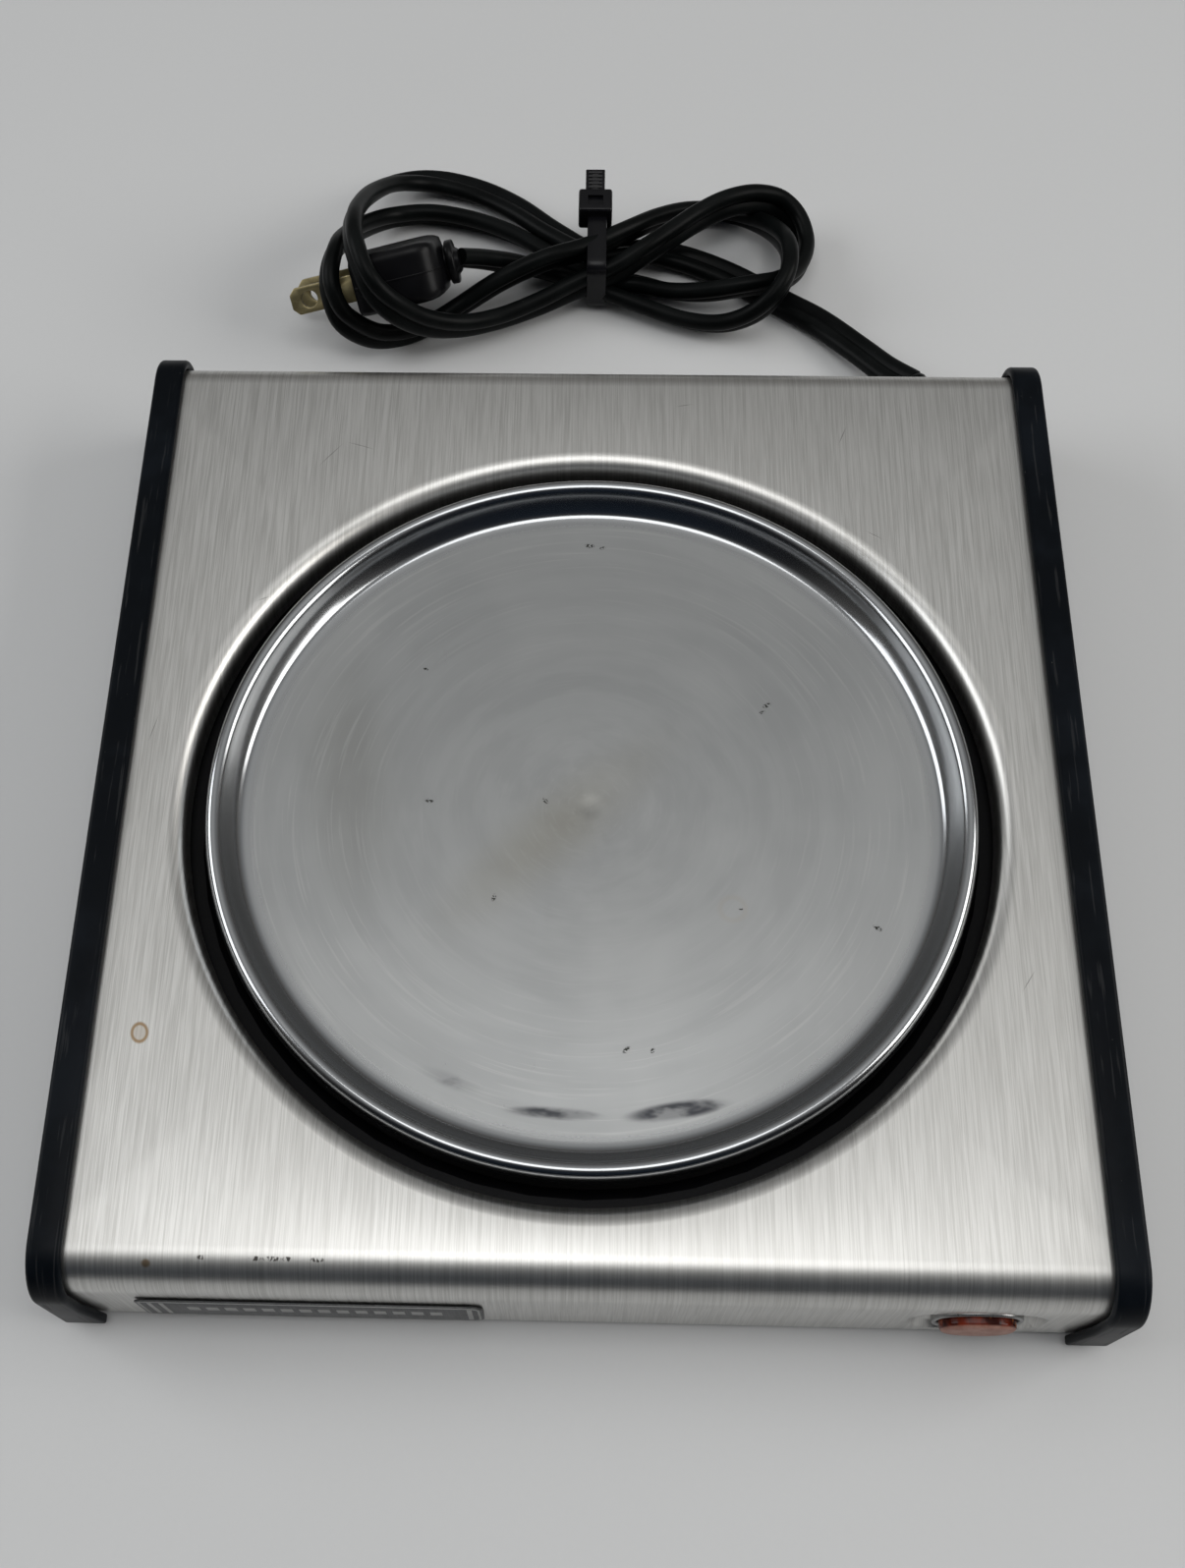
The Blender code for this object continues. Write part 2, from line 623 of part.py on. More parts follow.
def switch_terminal(name, x):
    """Push-on tab at the back of the switch."""
    z = SWITCH_Z - 2 * MM
    obj = box((x - 0.4 * MM, SWITCH_BACK + GAP, z - 3.1 * MM),
              (x + 0.4 * MM, SWITCH_BACK + 8 * MM, z + 3.1 * MM))
    piece(obj, name, "brass")


def nameplate():
    """Thin plate on the left of the front face, with rounded corners."""
    low, high = (-83 * MM, 5.2 * MM), (-18.6 * MM, 19.0 * MM)
    r = 1.2 * MM
    outline = (arc(high[0] - r, high[1] - r, r, 0, 90, 3) + arc(low[0] + r, high[1] - r, r, 90, 180, 3)
               + arc(low[0] + r, low[1] + r, r, 180, 270, 3)
               + arc(high[0] - r, low[1] + r, r, 270, 360, 3))
    obj = slab(outline, 0.4 * MM, (0, SHEET_FRONT - GAP - 0.2 * MM, 0), UPRIGHT)
    piece(obj, "nameplate", "grey_print")


# ---------------------------------------------------------------- wiring

def terminal_block():
    low, high = (67 * MM, 80 * MM, 6.2 * MM), (91 * MM, 97.1 * MM, 17 * MM)
    piece(box(low, high, 0.8 * MM), "terminal_block", "white_ceramic")


def inner_leads():
    """Insulated wires under the pan: block to switch, switch to element, element to block."""
    z = 6.0 * MM
    end_y = PLATE_Y - 62.5 * MM - LEAD_END_GAP
    tab_y = SWITCH_BACK + 8 * MM + LEAD_END_GAP
    tab_z = SWITCH_Z - 2 * MM
    drop = [(end_y, ELEMENT_Z), (end_y - 3 * MM, ELEMENT_Z - 1.5 * MM), (LEAD_HOLE_Y, 15 * MM),
            (LEAD_HOLE_Y, 9 * MM), (LEAD_HOLE_Y - 1 * MM, z)]
    routes = {
        "lead_switch": [(80 * MM, 79.7 * MM, 8 * MM), (80.5 * MM, 70 * MM, z), (83 * MM, 40 * MM, z),
                        (83 * MM, -20 * MM, z), (80 * MM, -50 * MM, z + 1 * MM),
                        (76.6 * MM, tab_y + 7 * MM, tab_z), (76.6 * MM, tab_y, tab_z)],
        "lead_element": [(TERMINAL_X, y, h) for y, h in drop]
                        + [(24 * MM, -82 * MM, z), (44 * MM, -74 * MM, z), (62 * MM, -56 * MM, z),
                           (69.4 * MM, tab_y + 5 * MM, tab_z - 1 * MM), (69.4 * MM, tab_y, tab_z)],
        "lead_return": [(-TERMINAL_X, y, h) for y, h in drop]
                       + [(-28 * MM, -68 * MM, z), (-50 * MM, -40 * MM, z), (-56 * MM, 10 * MM, z),
                          (-30 * MM, 60 * MM, z), (10 * MM, 84 * MM, z), (44 * MM, 90 * MM, z),
                          (66.7 * MM, 89 * MM, 8 * MM)],
    }
    finishes = {"lead_switch": "black_wire", "lead_element": "white_wire", "lead_return": "white_wire"}
    for name, points in routes.items():
        piece(tube(smooth_route(points, 7 * MM), 1.2 * MM), name, finishes[name])


def strain_relief():
    """Tapered rubber sleeve in the back wall, bending with the lead."""
    path = mm(RELIEF_PATH)
    fine = smooth_route(path, 2.2 * MM)
    count = len(fine) - 1
    radii = []
    for i, p in enumerate(fine):
        inside = p.y < -SHEET_FRONT + GAP
        radii.append(4.7 if inside else 4.7 - 0.9 * (i / count))
    piece(tube(fine, 1 * MM, radii, 3), "strain_relief", "black_rubber")


def power_cord():
    """The part of the lead that isn't tied up."""
    route = smooth_route(mm(LEAD_ROUTE), 5 * MM)
    piece(tube(route, LEAD_RADIUS), "power_cord", "black_rubber")


def hank_solid(name, plan, side, depth):
    """The outer shape of one half of the tied lead: a plan outline cut to a side outline."""
    height = 34 * MM
    obj = slab(mm(plan), height, (0, 0, height / 2))
    piece(obj, name, "black_rubber")
    middle = 160 * MM
    boolean(obj, slab(mm(side), depth, (0, middle, 0), UPRIGHT), "INTERSECT")
    return obj


def cord_hank():
    right_plan = [(0.2, 148.1), (5, 148.1), (12, 142), (20, 138), (30, 135.5), (41, 135.5),
                  (50.2, 138.9), (57.4, 147.1), (58.5, 160), (56, 173), (48, 183), (36, 186.5),
                  (22, 183), (10, 173), (5, 159.3), (0.2, 159.3)]
    right_side = [(0.2, 2.5), (0.2, 13.9), (6, 13.9), (12, 15.5), (60, 15.5), (60, 0.3), (8, 0.3),
                  (5, 2.5)]
    hank_solid("cord_hank_right", right_plan, right_side, 80 * MM)
    left_plan = [(-0.2, 159.3), (-5, 159.3), (-12, 170), (-24, 182), (-38, 191), (-50, 191),
                 (-61, 184), (-68.5, 170), (-71, 152), (-69.5, 137), (-62, 126.5), (-50, 122.5),
                 (-36, 123.5), (-22, 130), (-11, 140), (-5, 148.1), (-0.2, 148.1)]
    left_side = [(-0.2, 2.5), (-5, 2.5), (-8, 0.3), (-72, 0.3), (-72, 25), (-66, 33.5),
                 (-44, 33.5), (-20, 18), (-6, 13.9), (-0.2, 13.9)]
    obj = hank_solid("cord_hank_left", left_plan, left_side, 90 * MM)
    boolean(obj, in_plug_frame(box((-60 * MM, -13.4 * MM, -8 * MM), (22 * MM, 13.4 * MM, 8 * MM))))
    boolean(obj, box((-90 * MM, 130 * MM, -5 * MM), (-24 * MM, 164 * MM, 14 * MM)))


def plug_frame():
    """Plug's own frame: +X to the lead, +Y from blade to blade."""
    turn = Matrix.Rotation(PLUG_HEADING, 4, "Z") @ Matrix.Rotation(-PLUG_LIFT, 4, "Y")
    return Matrix.Translation(PLUG_CENTRE) @ turn @ Matrix.Rotation(PLUG_TILT, 4, "X")


def in_plug_frame(obj):
    bpy.context.view_layer.update()
    obj.matrix_world = plug_frame() @ obj.matrix_world
    return obj


def plug():
    """Moulded two-blade plug, leaning on one long edge, with a round collar at its neck."""
    half_outline = [(-12, 11.6), (-11, 12.5), (3.5, 12.5), (7.4, 11.2), (9.6, 7)]
    outline = half_outline + [(x, -y) for x, y in reversed(half_outline)]
    body = in_plug_frame(slab(mm(outline), PLUG_THICKNESS))
    piece(body, "plug_body", "black_rubber")
    smooth(body)
    radius, end = PLUG_NECK
    boolean(body, in_plug_frame(rod(radius, (PLUG_SHOULDER - 1 * MM, 0, 0), (end, 0, 0))), "UNION")
    blades = (("plug_blade_near", -BLADE_OFFSET, 6.4 * MM), ("plug_blade_far", BLADE_OFFSET, 7.8 * MM))
    for name, y, width in blades:
        half = BLADE_THICKNESS / 2
        blade = box((PLUG_FACE - BLADE_LENGTH, y - half, -width / 2), (PLUG_FACE - GAP, y + half, width / 2))
        in_plug_frame(blade)
        tip = blade.modifiers.new("tip", "BEVEL")
        tip.width = 0.5 * MM
        tip.segments = 1
        piece(blade, name, "brass")
        hole_x = PLUG_FACE - 11.9 * MM
        boolean(blade, in_plug_frame(rod(2.0 * MM, (hole_x, y - 3 * MM, 0), (hole_x, y + 3 * MM, 0), 16)))


def cable_tie():
    """Nylon tie round the bundle: strap, ratchet head and the strap's cut end."""
    strap, wall = TIE_STRAP
    outer = [(TIE_Y[0] + 3 * MM, TIE_Z[0] + 3 * MM), (TIE_Y[1] - 3 * MM, TIE_Z[1] - 3 * MM)]

    def ring(inset, length):
        r = 3 * MM - inset
        (y0, z0), (y1, z1) = outer
        outline = (arc(y1, z1, r, 0, 90, 4) + arc(y0, z1, r, 90, 180, 4)
                   + arc(y0, z0, r, 180, 270, 4) + arc(y1, z0, r, 270, 360, 4))
        return slab(outline, length, (0, 0, 0), ACROSS)

    obj = ring(0, strap)
    piece(obj, "cable_tie", "black_nylon")
    boolean(obj, ring(wall, strap + 4 * MM))
    head = box((-4.2 * MM, TIE_Y[1] - 0.8 * MM, TIE_Z[1] - 5.6 * MM),
               (4.2 * MM, TIE_Y[1] + 6.5 * MM, TIE_Z[1] + 0.4 * MM), 0.6 * MM)
    boolean(obj, head, "UNION")
    tail = box((-strap / 2, TIE_Y[1] + 4 * MM, TIE_Z[1] - 3.2 * MM),
               (strap / 2, TIE_Y[1] + 12 * MM, TIE_Z[1] - 1.9 * MM))
    boolean(obj, tail, "UNION")


# ---------------------------------------------------------------- assembly

clear_scene()
PARTS = collection(OBJECT_NAME)
CUTTERS = collection(OBJECT_NAME + "_cutters", hidden=True)
FINISHES = {
    "brushed_steel": material("brushed_steel", (0.62, 0.62, 0.60), 0.32, 1.0),
    "black_plastic": material("black_plastic", (0.012, 0.013, 0.016), 0.35),
    "zinc_steel": material("zinc_steel", (0.55, 0.56, 0.57), 0.4, 1.0),
    "grey_rubber": material("grey_rubber", (0.10, 0.10, 0.10), 0.8),
    "satin_plate": material("satin_plate", (0.60, 0.61, 0.62), 0.25, 1.0),
    "black_ceramic": material("black_ceramic", (0.02, 0.02, 0.02), 0.7),
    "black_enamel": material("black_enamel", (0.01, 0.01, 0.01), 0.35),
    "element_sheath": material("element_sheath", (0.20, 0.17, 0.15), 0.5, 1.0),
    "brown_phenolic": material("brown_phenolic", (0.12, 0.05, 0.02), 0.5),
    "white_sleeve": material("white_sleeve", (0.75, 0.73, 0.68), 0.7),
    "amber_lens": material("amber_lens", (0.62, 0.10, 0.03), 0.25),
    "bright_trim": material("bright_trim", (0.80, 0.80, 0.79), 0.15, 1.0),
    "clear_glass": material("clear_glass", (0.85, 0.80, 0.75), 0.05),
    "brass": material("brass", (0.55, 0.40, 0.16), 0.3, 1.0),
    "grey_print": material("grey_print", (0.10, 0.10, 0.10), 0.45),
    "white_ceramic": material("white_ceramic", (0.78, 0.76, 0.70), 0.4),
    "black_wire": material("black_wire", (0.015, 0.015, 0.015), 0.6),
    "white_wire": material("white_wire", (0.75, 0.74, 0.70), 0.6),
    "black_rubber": material("black_rubber", (0.012, 0.012, 0.012), 0.55),
    "black_nylon": material("black_nylon", (0.01, 0.01, 0.012), 0.4),
}

casing_wrap()
end_cap("end_cap_left", -1)
end_cap("end_cap_right", 1)
base_plate()
for way_y, row_name in ((-1, "front"), (1, "back")):
    for way_x, side_name in ((-1, "left"), (1, "right")):
        foot(f"foot_{row_name}_{side_name}", way_x * FOOT_X, way_y * FOOT_Y)
        base_screw(f"base_screw_{row_name}_{side_name}", way_x * SCREW_X, way_y * SCREW_Y)
warming_plate()
insulating_ring()
reflector_pan()
heating_element()
element_clamp()
centre_stud()
thermostat()
thermal_fuse()
power_button()
switch_collar()
switch_body()
button_spring()
neon_lamp()
switch_terminal("switch_terminal_line", SWITCH_X + 3.6 * MM)
switch_terminal("switch_terminal_load", SWITCH_X - 3.6 * MM)
nameplate()
terminal_block()
inner_leads()
strain_relief()
power_cord()
cord_hank()
plug()
cable_tie()
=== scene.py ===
"""Looks of the buffet server: brushed case, polished plate, moulded caps and the tied lead."""

from math import cos, pi, radians, sin

import bmesh
import bpy
from mathutils import Matrix, Vector


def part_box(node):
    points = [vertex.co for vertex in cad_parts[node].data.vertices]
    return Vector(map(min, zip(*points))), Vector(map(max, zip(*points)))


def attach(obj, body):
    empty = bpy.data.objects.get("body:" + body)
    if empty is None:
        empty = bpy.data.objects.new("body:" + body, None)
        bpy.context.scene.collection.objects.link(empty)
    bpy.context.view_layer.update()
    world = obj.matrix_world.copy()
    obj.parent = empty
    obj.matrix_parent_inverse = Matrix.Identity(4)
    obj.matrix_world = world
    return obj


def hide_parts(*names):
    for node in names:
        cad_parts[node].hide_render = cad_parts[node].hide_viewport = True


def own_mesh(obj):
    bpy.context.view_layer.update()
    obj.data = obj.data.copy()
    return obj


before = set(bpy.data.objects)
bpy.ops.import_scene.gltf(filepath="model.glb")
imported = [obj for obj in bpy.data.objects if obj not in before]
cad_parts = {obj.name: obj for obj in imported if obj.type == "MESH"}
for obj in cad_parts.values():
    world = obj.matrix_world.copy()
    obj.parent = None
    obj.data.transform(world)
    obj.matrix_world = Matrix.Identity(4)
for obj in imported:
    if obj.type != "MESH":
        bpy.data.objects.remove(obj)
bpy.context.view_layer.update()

MM = 0.001

# ---------------------------------------------------------------- sizes, from the frame

CASE_LOW, CASE_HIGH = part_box("end_cap_left")[0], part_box("end_cap_right")[1]
WIDTH, DEPTH, HEIGHT = CASE_HIGH.x - CASE_LOW.x, CASE_HIGH.y - CASE_LOW.y, CASE_HIGH.z
CAP_BOTTOM = CASE_LOW.z
CAP_WALL = 3.0 * MM
CAP_REACH = 6.4 * MM
CAP_RADIUS = 9.8 * MM
RIM = 2.0 * MM
BOSS_REACH, BOSS_HALF, BOSS_LOW, BOSS_HIGH = 4 * MM, 4.5 * MM, 4.2 * MM, 13 * MM
SCREW_HOLE_RADIUS, SCREW_HOLE_DEPTH = 1.8 * MM, 14 * MM
SHEET = 0.8 * MM
SHEET_LOW, SHEET_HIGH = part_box("casing_wrap")
SHEET_FRONT, SHEET_TOP = SHEET_LOW.y, SHEET_HIGH.z
SHEET_RADIUS = CAP_RADIUS - (HEIGHT - SHEET_TOP)
PLATE_LOW, PLATE_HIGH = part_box("warming_plate")
PLATE_Y = (PLATE_LOW.y + PLATE_HIGH.y) / 2
PLATE_RADIUS = (PLATE_HIGH.x - PLATE_LOW.x) / 2
PLATE_CREST = PLATE_HIGH.z
PLATE_FLOOR = PLATE_CREST - 5.7 * MM
LIP_RADIUS = 81.6 * MM
LIP_ROLL = 4.2 * MM
BUTTON_LOW, BUTTON_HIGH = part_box("power_button")
BUTTON_SIZE = (BUTTON_HIGH.x - BUTTON_LOW.x, BUTTON_HIGH.z - BUTTON_LOW.z)
SWITCH_X = (BUTTON_LOW.x + BUTTON_HIGH.x) / 2
SWITCH_Z = (BUTTON_LOW.z + BUTTON_HIGH.z) / 2
COLLAR = 1.4 * MM
DISH_SIZE = (25.0 * MM, 17.2 * MM)
DISH_DEPTH = 2.0 * MM
OVAL_POWER = 2.4
EXIT_X, EXIT_Z = 84 * MM, 9.5 * MM


# ---------------------------------------------------------------- mesh helpers

def solid(name, work, finish, angle=30):
    """A named piece from a bmesh, shaded smooth between its sharp edges."""
    mesh = bpy.data.meshes.new(name)
    work.to_mesh(mesh)
    work.free()
    obj = bpy.data.objects.new(name, mesh)
    bpy.context.scene.collection.objects.link(obj)
    shade(obj, angle)
    if finish:
        mesh.materials.append(FINISHES[finish])
    return obj


def shade(obj, angle=30):
    obj.data.shade_smooth()
    obj.data.set_sharp_from_angle(angle=radians(angle))
    return obj


def settle(obj):
    """Apply all of a piece's modifiers."""
    graph = bpy.context.evaluated_depsgraph_get()
    mesh = bpy.data.meshes.new_from_object(obj.evaluated_get(graph))
    obj.modifiers.clear()
    obj.data = mesh
    return obj


def combine(target, other, operation):
    """Cut another solid out of a piece, or join it on."""
    mod = target.modifiers.new(operation, "BOOLEAN")
    mod.operation = operation
    mod.object = other
    settle(target)
    bpy.data.objects.remove(other)
    return target


def cut(target, other):
    return combine(target, other, "DIFFERENCE")


def join(target, other):
    return combine(target, other, "UNION")


def round_edges(obj, width, segments=3, angle=35):
    mod = obj.modifiers.new("round", "BEVEL")
    mod.width = width
    mod.segments = segments
    mod.limit_method = "ANGLE"
    mod.angle_limit = radians(angle)
    mod.harden_normals = False
    settle(obj)
    return shade(obj, 40)


def place(x=0.0, y=0.0, z=0.0):
    return Matrix.Translation((x, y, z))


UPRIGHT = Matrix.Rotation(radians(90), 4, "X")           # plan (x, z), thickness along y
ACROSS = Matrix(((0, 0, 1, 0), (1, 0, 0, 0), (0, 1, 0, 0), (0, 0, 0, 1)))   # plan (y, z), along x


def slab(name, outline, thickness, where=Matrix.Identity(4), finish=None):
    """A flat outline, thickened both ways about its plane."""
    work = bmesh.new()
    rows = [[work.verts.new(where @ Vector((x, y, h))) for x, y in outline]
            for h in (-thickness / 2, thickness / 2)]
    work.faces.new(rows[0][::-1])
    work.faces.new(rows[1])
    count = len(outline)
    for i in range(count):
        j = (i + 1) % count
        work.faces.new((rows[0][i], rows[0][j], rows[1][j], rows[1][i]))
    bmesh.ops.recalc_face_normals(work, faces=work.faces)
    return solid(name, work, finish)


def block(name, low, high, where=Matrix.Identity(4), finish=None):
    (x0, y0, z0), (x1, y1, z1) = low, high
    middle = where @ place(z=(z0 + z1) / 2)
    return slab(name, [(x0, y0), (x1, y0), (x1, y1), (x0, y1)], z1 - z0, middle, finish)


def loft(name, rows, finish=None, closed=False, angle=30):
    """Skin over rows of points; the ends are filled unless the skin closes on itself."""
    work = bmesh.new()
    rings = [[work.verts.new(p) for p in row] for row in rows]
    pairs = list(zip(rings, rings[1:] + rings[:1])) if closed else list(zip(rings, rings[1:]))
    for a, b in pairs:
        count = len(a)
        for i in range(count):
            j = (i + 1) % count
            work.faces.new((a[i], a[j], b[j], b[i]))
    if not closed:
        work.faces.new(rings[0][::-1])
        work.faces.new(rings[-1])
    bmesh.ops.recalc_face_normals(work, faces=work.faces)
    return solid(name, work, finish, angle)


def turned(name, profile, x, y, finish, steps=96):
    """Turn a closed profile of (radius, height) about an upright axis."""
    rows = [[(x + r * cos(2 * pi * k / steps), y + r * sin(2 * pi * k / steps), z)
             for k in range(steps)] for r, z in profile]
    return loft(name, rows, finish, closed=True)


def arc(cx, cy, radius, start, end, steps):
    turn = [radians(start + (end - start) * k / steps) for k in range(steps + 1)]
    return [(cx + radius * cos(a), cy + radius * sin(a)) for a in turn]


def oval(width, height, steps=72, power=OVAL_POWER):
    """A rounded oblong: power 2 is an ellipse, and a high power is nearly a rectangle."""
    points = []
    for k in range(steps):
        x, y = cos(2 * pi * k / steps), sin(2 * pi * k / steps)
        reach = (abs(x) ** power + abs(y) ** power) ** (-1 / power)
        points.append((width / 2 * x * reach, height / 2 * y * reach))
    return points


def ride(obj, body="housing", stands_for=()):
    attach(obj, body)
    if stands_for:
        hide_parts(*stands_for)
    return obj


def smoothstep(t):
    t = min(max(t, 0.0), 1.0)
    return t * t * (3 - 2 * t)


def smooth_line(points, steps):
    """A smooth curve through points of any size, by Catmull-Rom."""
    points = [Vector(p) for p in points]
    ends = [2 * points[0] - points[1]] + points + [2 * points[-1] - points[-2]]
    line = []
    for a, b, c, d in zip(ends, ends[1:], ends[2:], ends[3:]):
        for k in range(steps):
            t = k / steps
            line.append(0.5 * (2 * b + (c - a) * t + (2 * a - 5 * b + 4 * c - d) * t ** 2
                               + (3 * b - a - 3 * c + d) * t ** 3))
    return line + [points[-1]]


# ---------------------------------------------------------------- finishes

def operator(operation, swapped=False):
    """A Value's operator, as one Math node; swapped is its reflected form."""
    def apply(self, other):
        terms = (other, self) if swapped else (self, other)
        return self.nodes.node("ShaderNodeMath", {"operation": operation}, dict(enumerate(terms)))
    return apply


class Value:
    """One output of a shader node, which can be used in ordinary sums."""

    __add__, __radd__ = operator("ADD"), operator("ADD", True)
    __sub__, __rsub__ = operator("SUBTRACT"), operator("SUBTRACT", True)
    __mul__, __rmul__ = operator("MULTIPLY"), operator("MULTIPLY", True)
    __truediv__, __rtruediv__ = operator("DIVIDE"), operator("DIVIDE", True)

    def __init__(self, nodes, socket):
        self.nodes, self.socket = nodes, socket


class Nodes:
    """A node tree being filled in."""

    def __init__(self, tree):
        self.tree = tree

    def plug(self, socket, value):
        if isinstance(value, Value):
            self.tree.links.new(value.socket, socket)
        else:
            socket.default_value = value

    def node(self, kind, settings=None, inputs=None, output=0):
        made = self.tree.nodes.new(kind)
        for key, value in (settings or {}).items():
            if key == "stops":
                for _ in value[2:]:
                    made.color_ramp.elements.new(0.5)
                for stop, (at, colour) in zip(made.color_ramp.elements, value):
                    stop.position, stop.color = at, (*colour, 1)
            else:
                setattr(made, key, value)
        for key, value in (inputs or {}).items():
            self.plug(made.inputs[key], value)
        return Value(self, made.outputs[output])


class Finish(Nodes):
    """A material under construction."""

    def __init__(self, name, colour, roughness, metallic=0.0, **fixed):
        self.name = name
        self.mat = bpy.data.materials.new(name)
        self.mat.use_nodes = True
        super().__init__(self.mat.node_tree)
        self.shader = self.tree.nodes["Principled BSDF"]
        self.set("Base Color", (*colour, 1))
        self.set("Roughness", roughness)
        self.set("Metallic", metallic)
        for socket, value in fixed.items():
            self.set(socket.replace("_", " "), value)
        self.height = None

    def set(self, socket, value):
        self.plug(self.shader.inputs[socket], value)

    def where(self, scale=(1, 1, 1), turn=(0, 0, 0), shift=(0, 0, 0)):
        spot = self.node("ShaderNodeTexCoord", output="Object")
        return self.node("ShaderNodeMapping", {"vector_type": "POINT"},
                         {"Vector": spot, "Location": shift, "Rotation": turn, "Scale": scale})

    def along(self, axis):
        return self.node("ShaderNodeSeparateXYZ", None, {0: self.where()}, "XYZ".index(axis))

    def noise(self, vector, scale=1.0, detail=2.0, rough=0.5, twist=0.0):
        return self.node("ShaderNodeTexNoise", None,
                         {"Vector": vector, "Scale": scale, "Detail": detail, "Roughness": rough,
                          "Distortion": twist})

    def cells(self, vector, scale):
        return self.node("ShaderNodeTexVoronoi", None, {"Vector": vector, "Scale": scale})

    def spread(self, value, low, high, to_low=0.0, to_high=1.0):
        """A value's range low to high, stretched softly over another range."""
        return self.node("ShaderNodeMapRange", {"interpolation_type": "SMOOTHSTEP"},
                         {"Value": value, "From Min": low, "From Max": high, "To Min": to_low,
                          "To Max": to_high})

    def blend(self, factor, first, second):
        def colour(c):
            return c if isinstance(c, Value) else (*c, 1)
        return self.node("ShaderNodeMix", {"data_type": "RGBA"},
                         {0: factor, 6: colour(first), 7: colour(second)}, 2)

    def distance(self, x, y, z, stretch=(1, 1, 1), turn=0.0):
        """Distance from a point, in metres, stretched along x and y for a long mark."""
        rotated = self.where(shift=(-x, -y, -z))
        rotated = self.node("ShaderNodeMapping", {"vector_type": "TEXTURE"},
                            {"Vector": rotated, "Rotation": (0, 0, turn), "Scale": stretch})
        return self.node("ShaderNodeVectorMath", {"operation": "LENGTH"}, {0: rotated}, "Value")

    def spot(self, x, y, z, radius, stretch=(1, 1, 1), turn=0.0, soft=0.5):
        """1 inside a mark, 0 outside it."""
        away = self.distance(x, y, z, stretch, turn)
        return self.spread(away, radius * (1 - soft), radius, 1.0, 0.0)

    def bump(self, height, distance, strength=1.0):
        inputs = {"Height": height, "Distance": distance, "Strength": strength}
        if self.height:
            inputs["Normal"] = self.height
        self.height = self.node("ShaderNodeBump", None, inputs)
        self.set("Normal", self.height)
        return self


def brushed_steel():
    """Case sheet: fine grain from front to back, a few scratches, stains and worn specks."""
    f = Finish("brushed_steel", (0.60, 0.60, 0.59), 0.34, 1.0)
    fine = f.noise(f.where((3600, 60, 60)), detail=3, rough=0.65)
    broad = f.noise(f.where((1500, 28, 28), shift=(3, 1, 0)), detail=3, rough=0.65)
    cloud = f.noise(f.where((14, 10, 10)), detail=3)
    grain = 0.65 * fine + 0.35 * broad
    streak = f.spread(broad, 0.36, 0.66)
    shade_low, shade_high = (0.50, 0.495, 0.475), (0.66, 0.655, 0.635)
    colour = f.blend(f.spread(grain, 0.36, 0.62), shade_low, shade_high)
    colour = f.blend(f.spread(cloud, 0.35, 0.75) * 0.22, colour, (0.50, 0.49, 0.465))
    top = SHEET_TOP
    ring_away = f.distance(-84.9 * MM, -57.5 * MM, top, (1, 1.25, 1), 0.2)
    ring = (f.spread(ring_away, 1.0 * MM, 1.35 * MM)
            * f.spread(ring_away, 1.5 * MM, 1.9 * MM, 1.0, 0.0))
    inner = f.spread(ring_away, 0.9 * MM, 1.5 * MM, 0.25, 0.0)
    colour = f.blend(ring * 0.85 + inner, colour, (0.30, 0.19, 0.085))
    brown = f.spot(-78.7 * MM, -100.6 * MM, top - 0.5 * MM, 1.1 * MM)
    colour = f.blend(brown * 0.8, colour, (0.26, 0.17, 0.08))
    speck_noise = f.spread(f.noise(f.where((2400, 900, 900)), detail=1), 0.46, 0.56)
    specks = speck_noise * sum(
        f.spot(x * MM, -99.3 * MM, top - 0.3 * MM, 0.55 * MM, (length, 1, 2))
        for x, length in ((-68.7, 1.8), (-59.0, 2.4), (-56.0, 4.0), (-53.2, 2.0), (-47.8, 2.8)))
    colour = f.blend(specks * 0.9, colour, (0.035, 0.03, 0.025))
    scratches = sum(
        f.spot(x * MM, y * MM, top, 0.16 * MM, (length * 5, 1, 8), turn, 0.9)
        for x, y, length, turn in ((-58.6, 77.5, 6, 0.9), (-52.0, 80.0, 5, -0.3), (60.6, 57.5, 3.2, -0.55),
                                   (55.0, 84.0, 4, 1.2), (-90.0, 8.0, 5, 1.35), (84.0, -44.0, 4, 1.0),
                                   (-70.0, 40.0, 3, 0.5), (20.0, 92.0, 3, 0.2)))
    colour = f.blend(scratches * 0.55, colour, (0.10, 0.095, 0.09))
    pits = f.spread(f.cells(f.where(), 95), 0.018, 0.03, 1.0, 0.0)
    pit_on = f.spread(f.noise(f.where((31, 31, 31))), 0.60, 0.66)
    colour = f.blend(pits * pit_on * 0.6, colour, (0.09, 0.08, 0.07))
    f.set("Base Color", colour)
    f.set("Roughness", 0.27 + 0.13 * grain + 0.05 * cloud + 0.2 * specks)
    f.bump(grain, 0.012 * MM, 0.5).bump(streak, 0.012 * MM, 0.3)
    return f.bump(scratches, 0.03 * MM, 0.6)


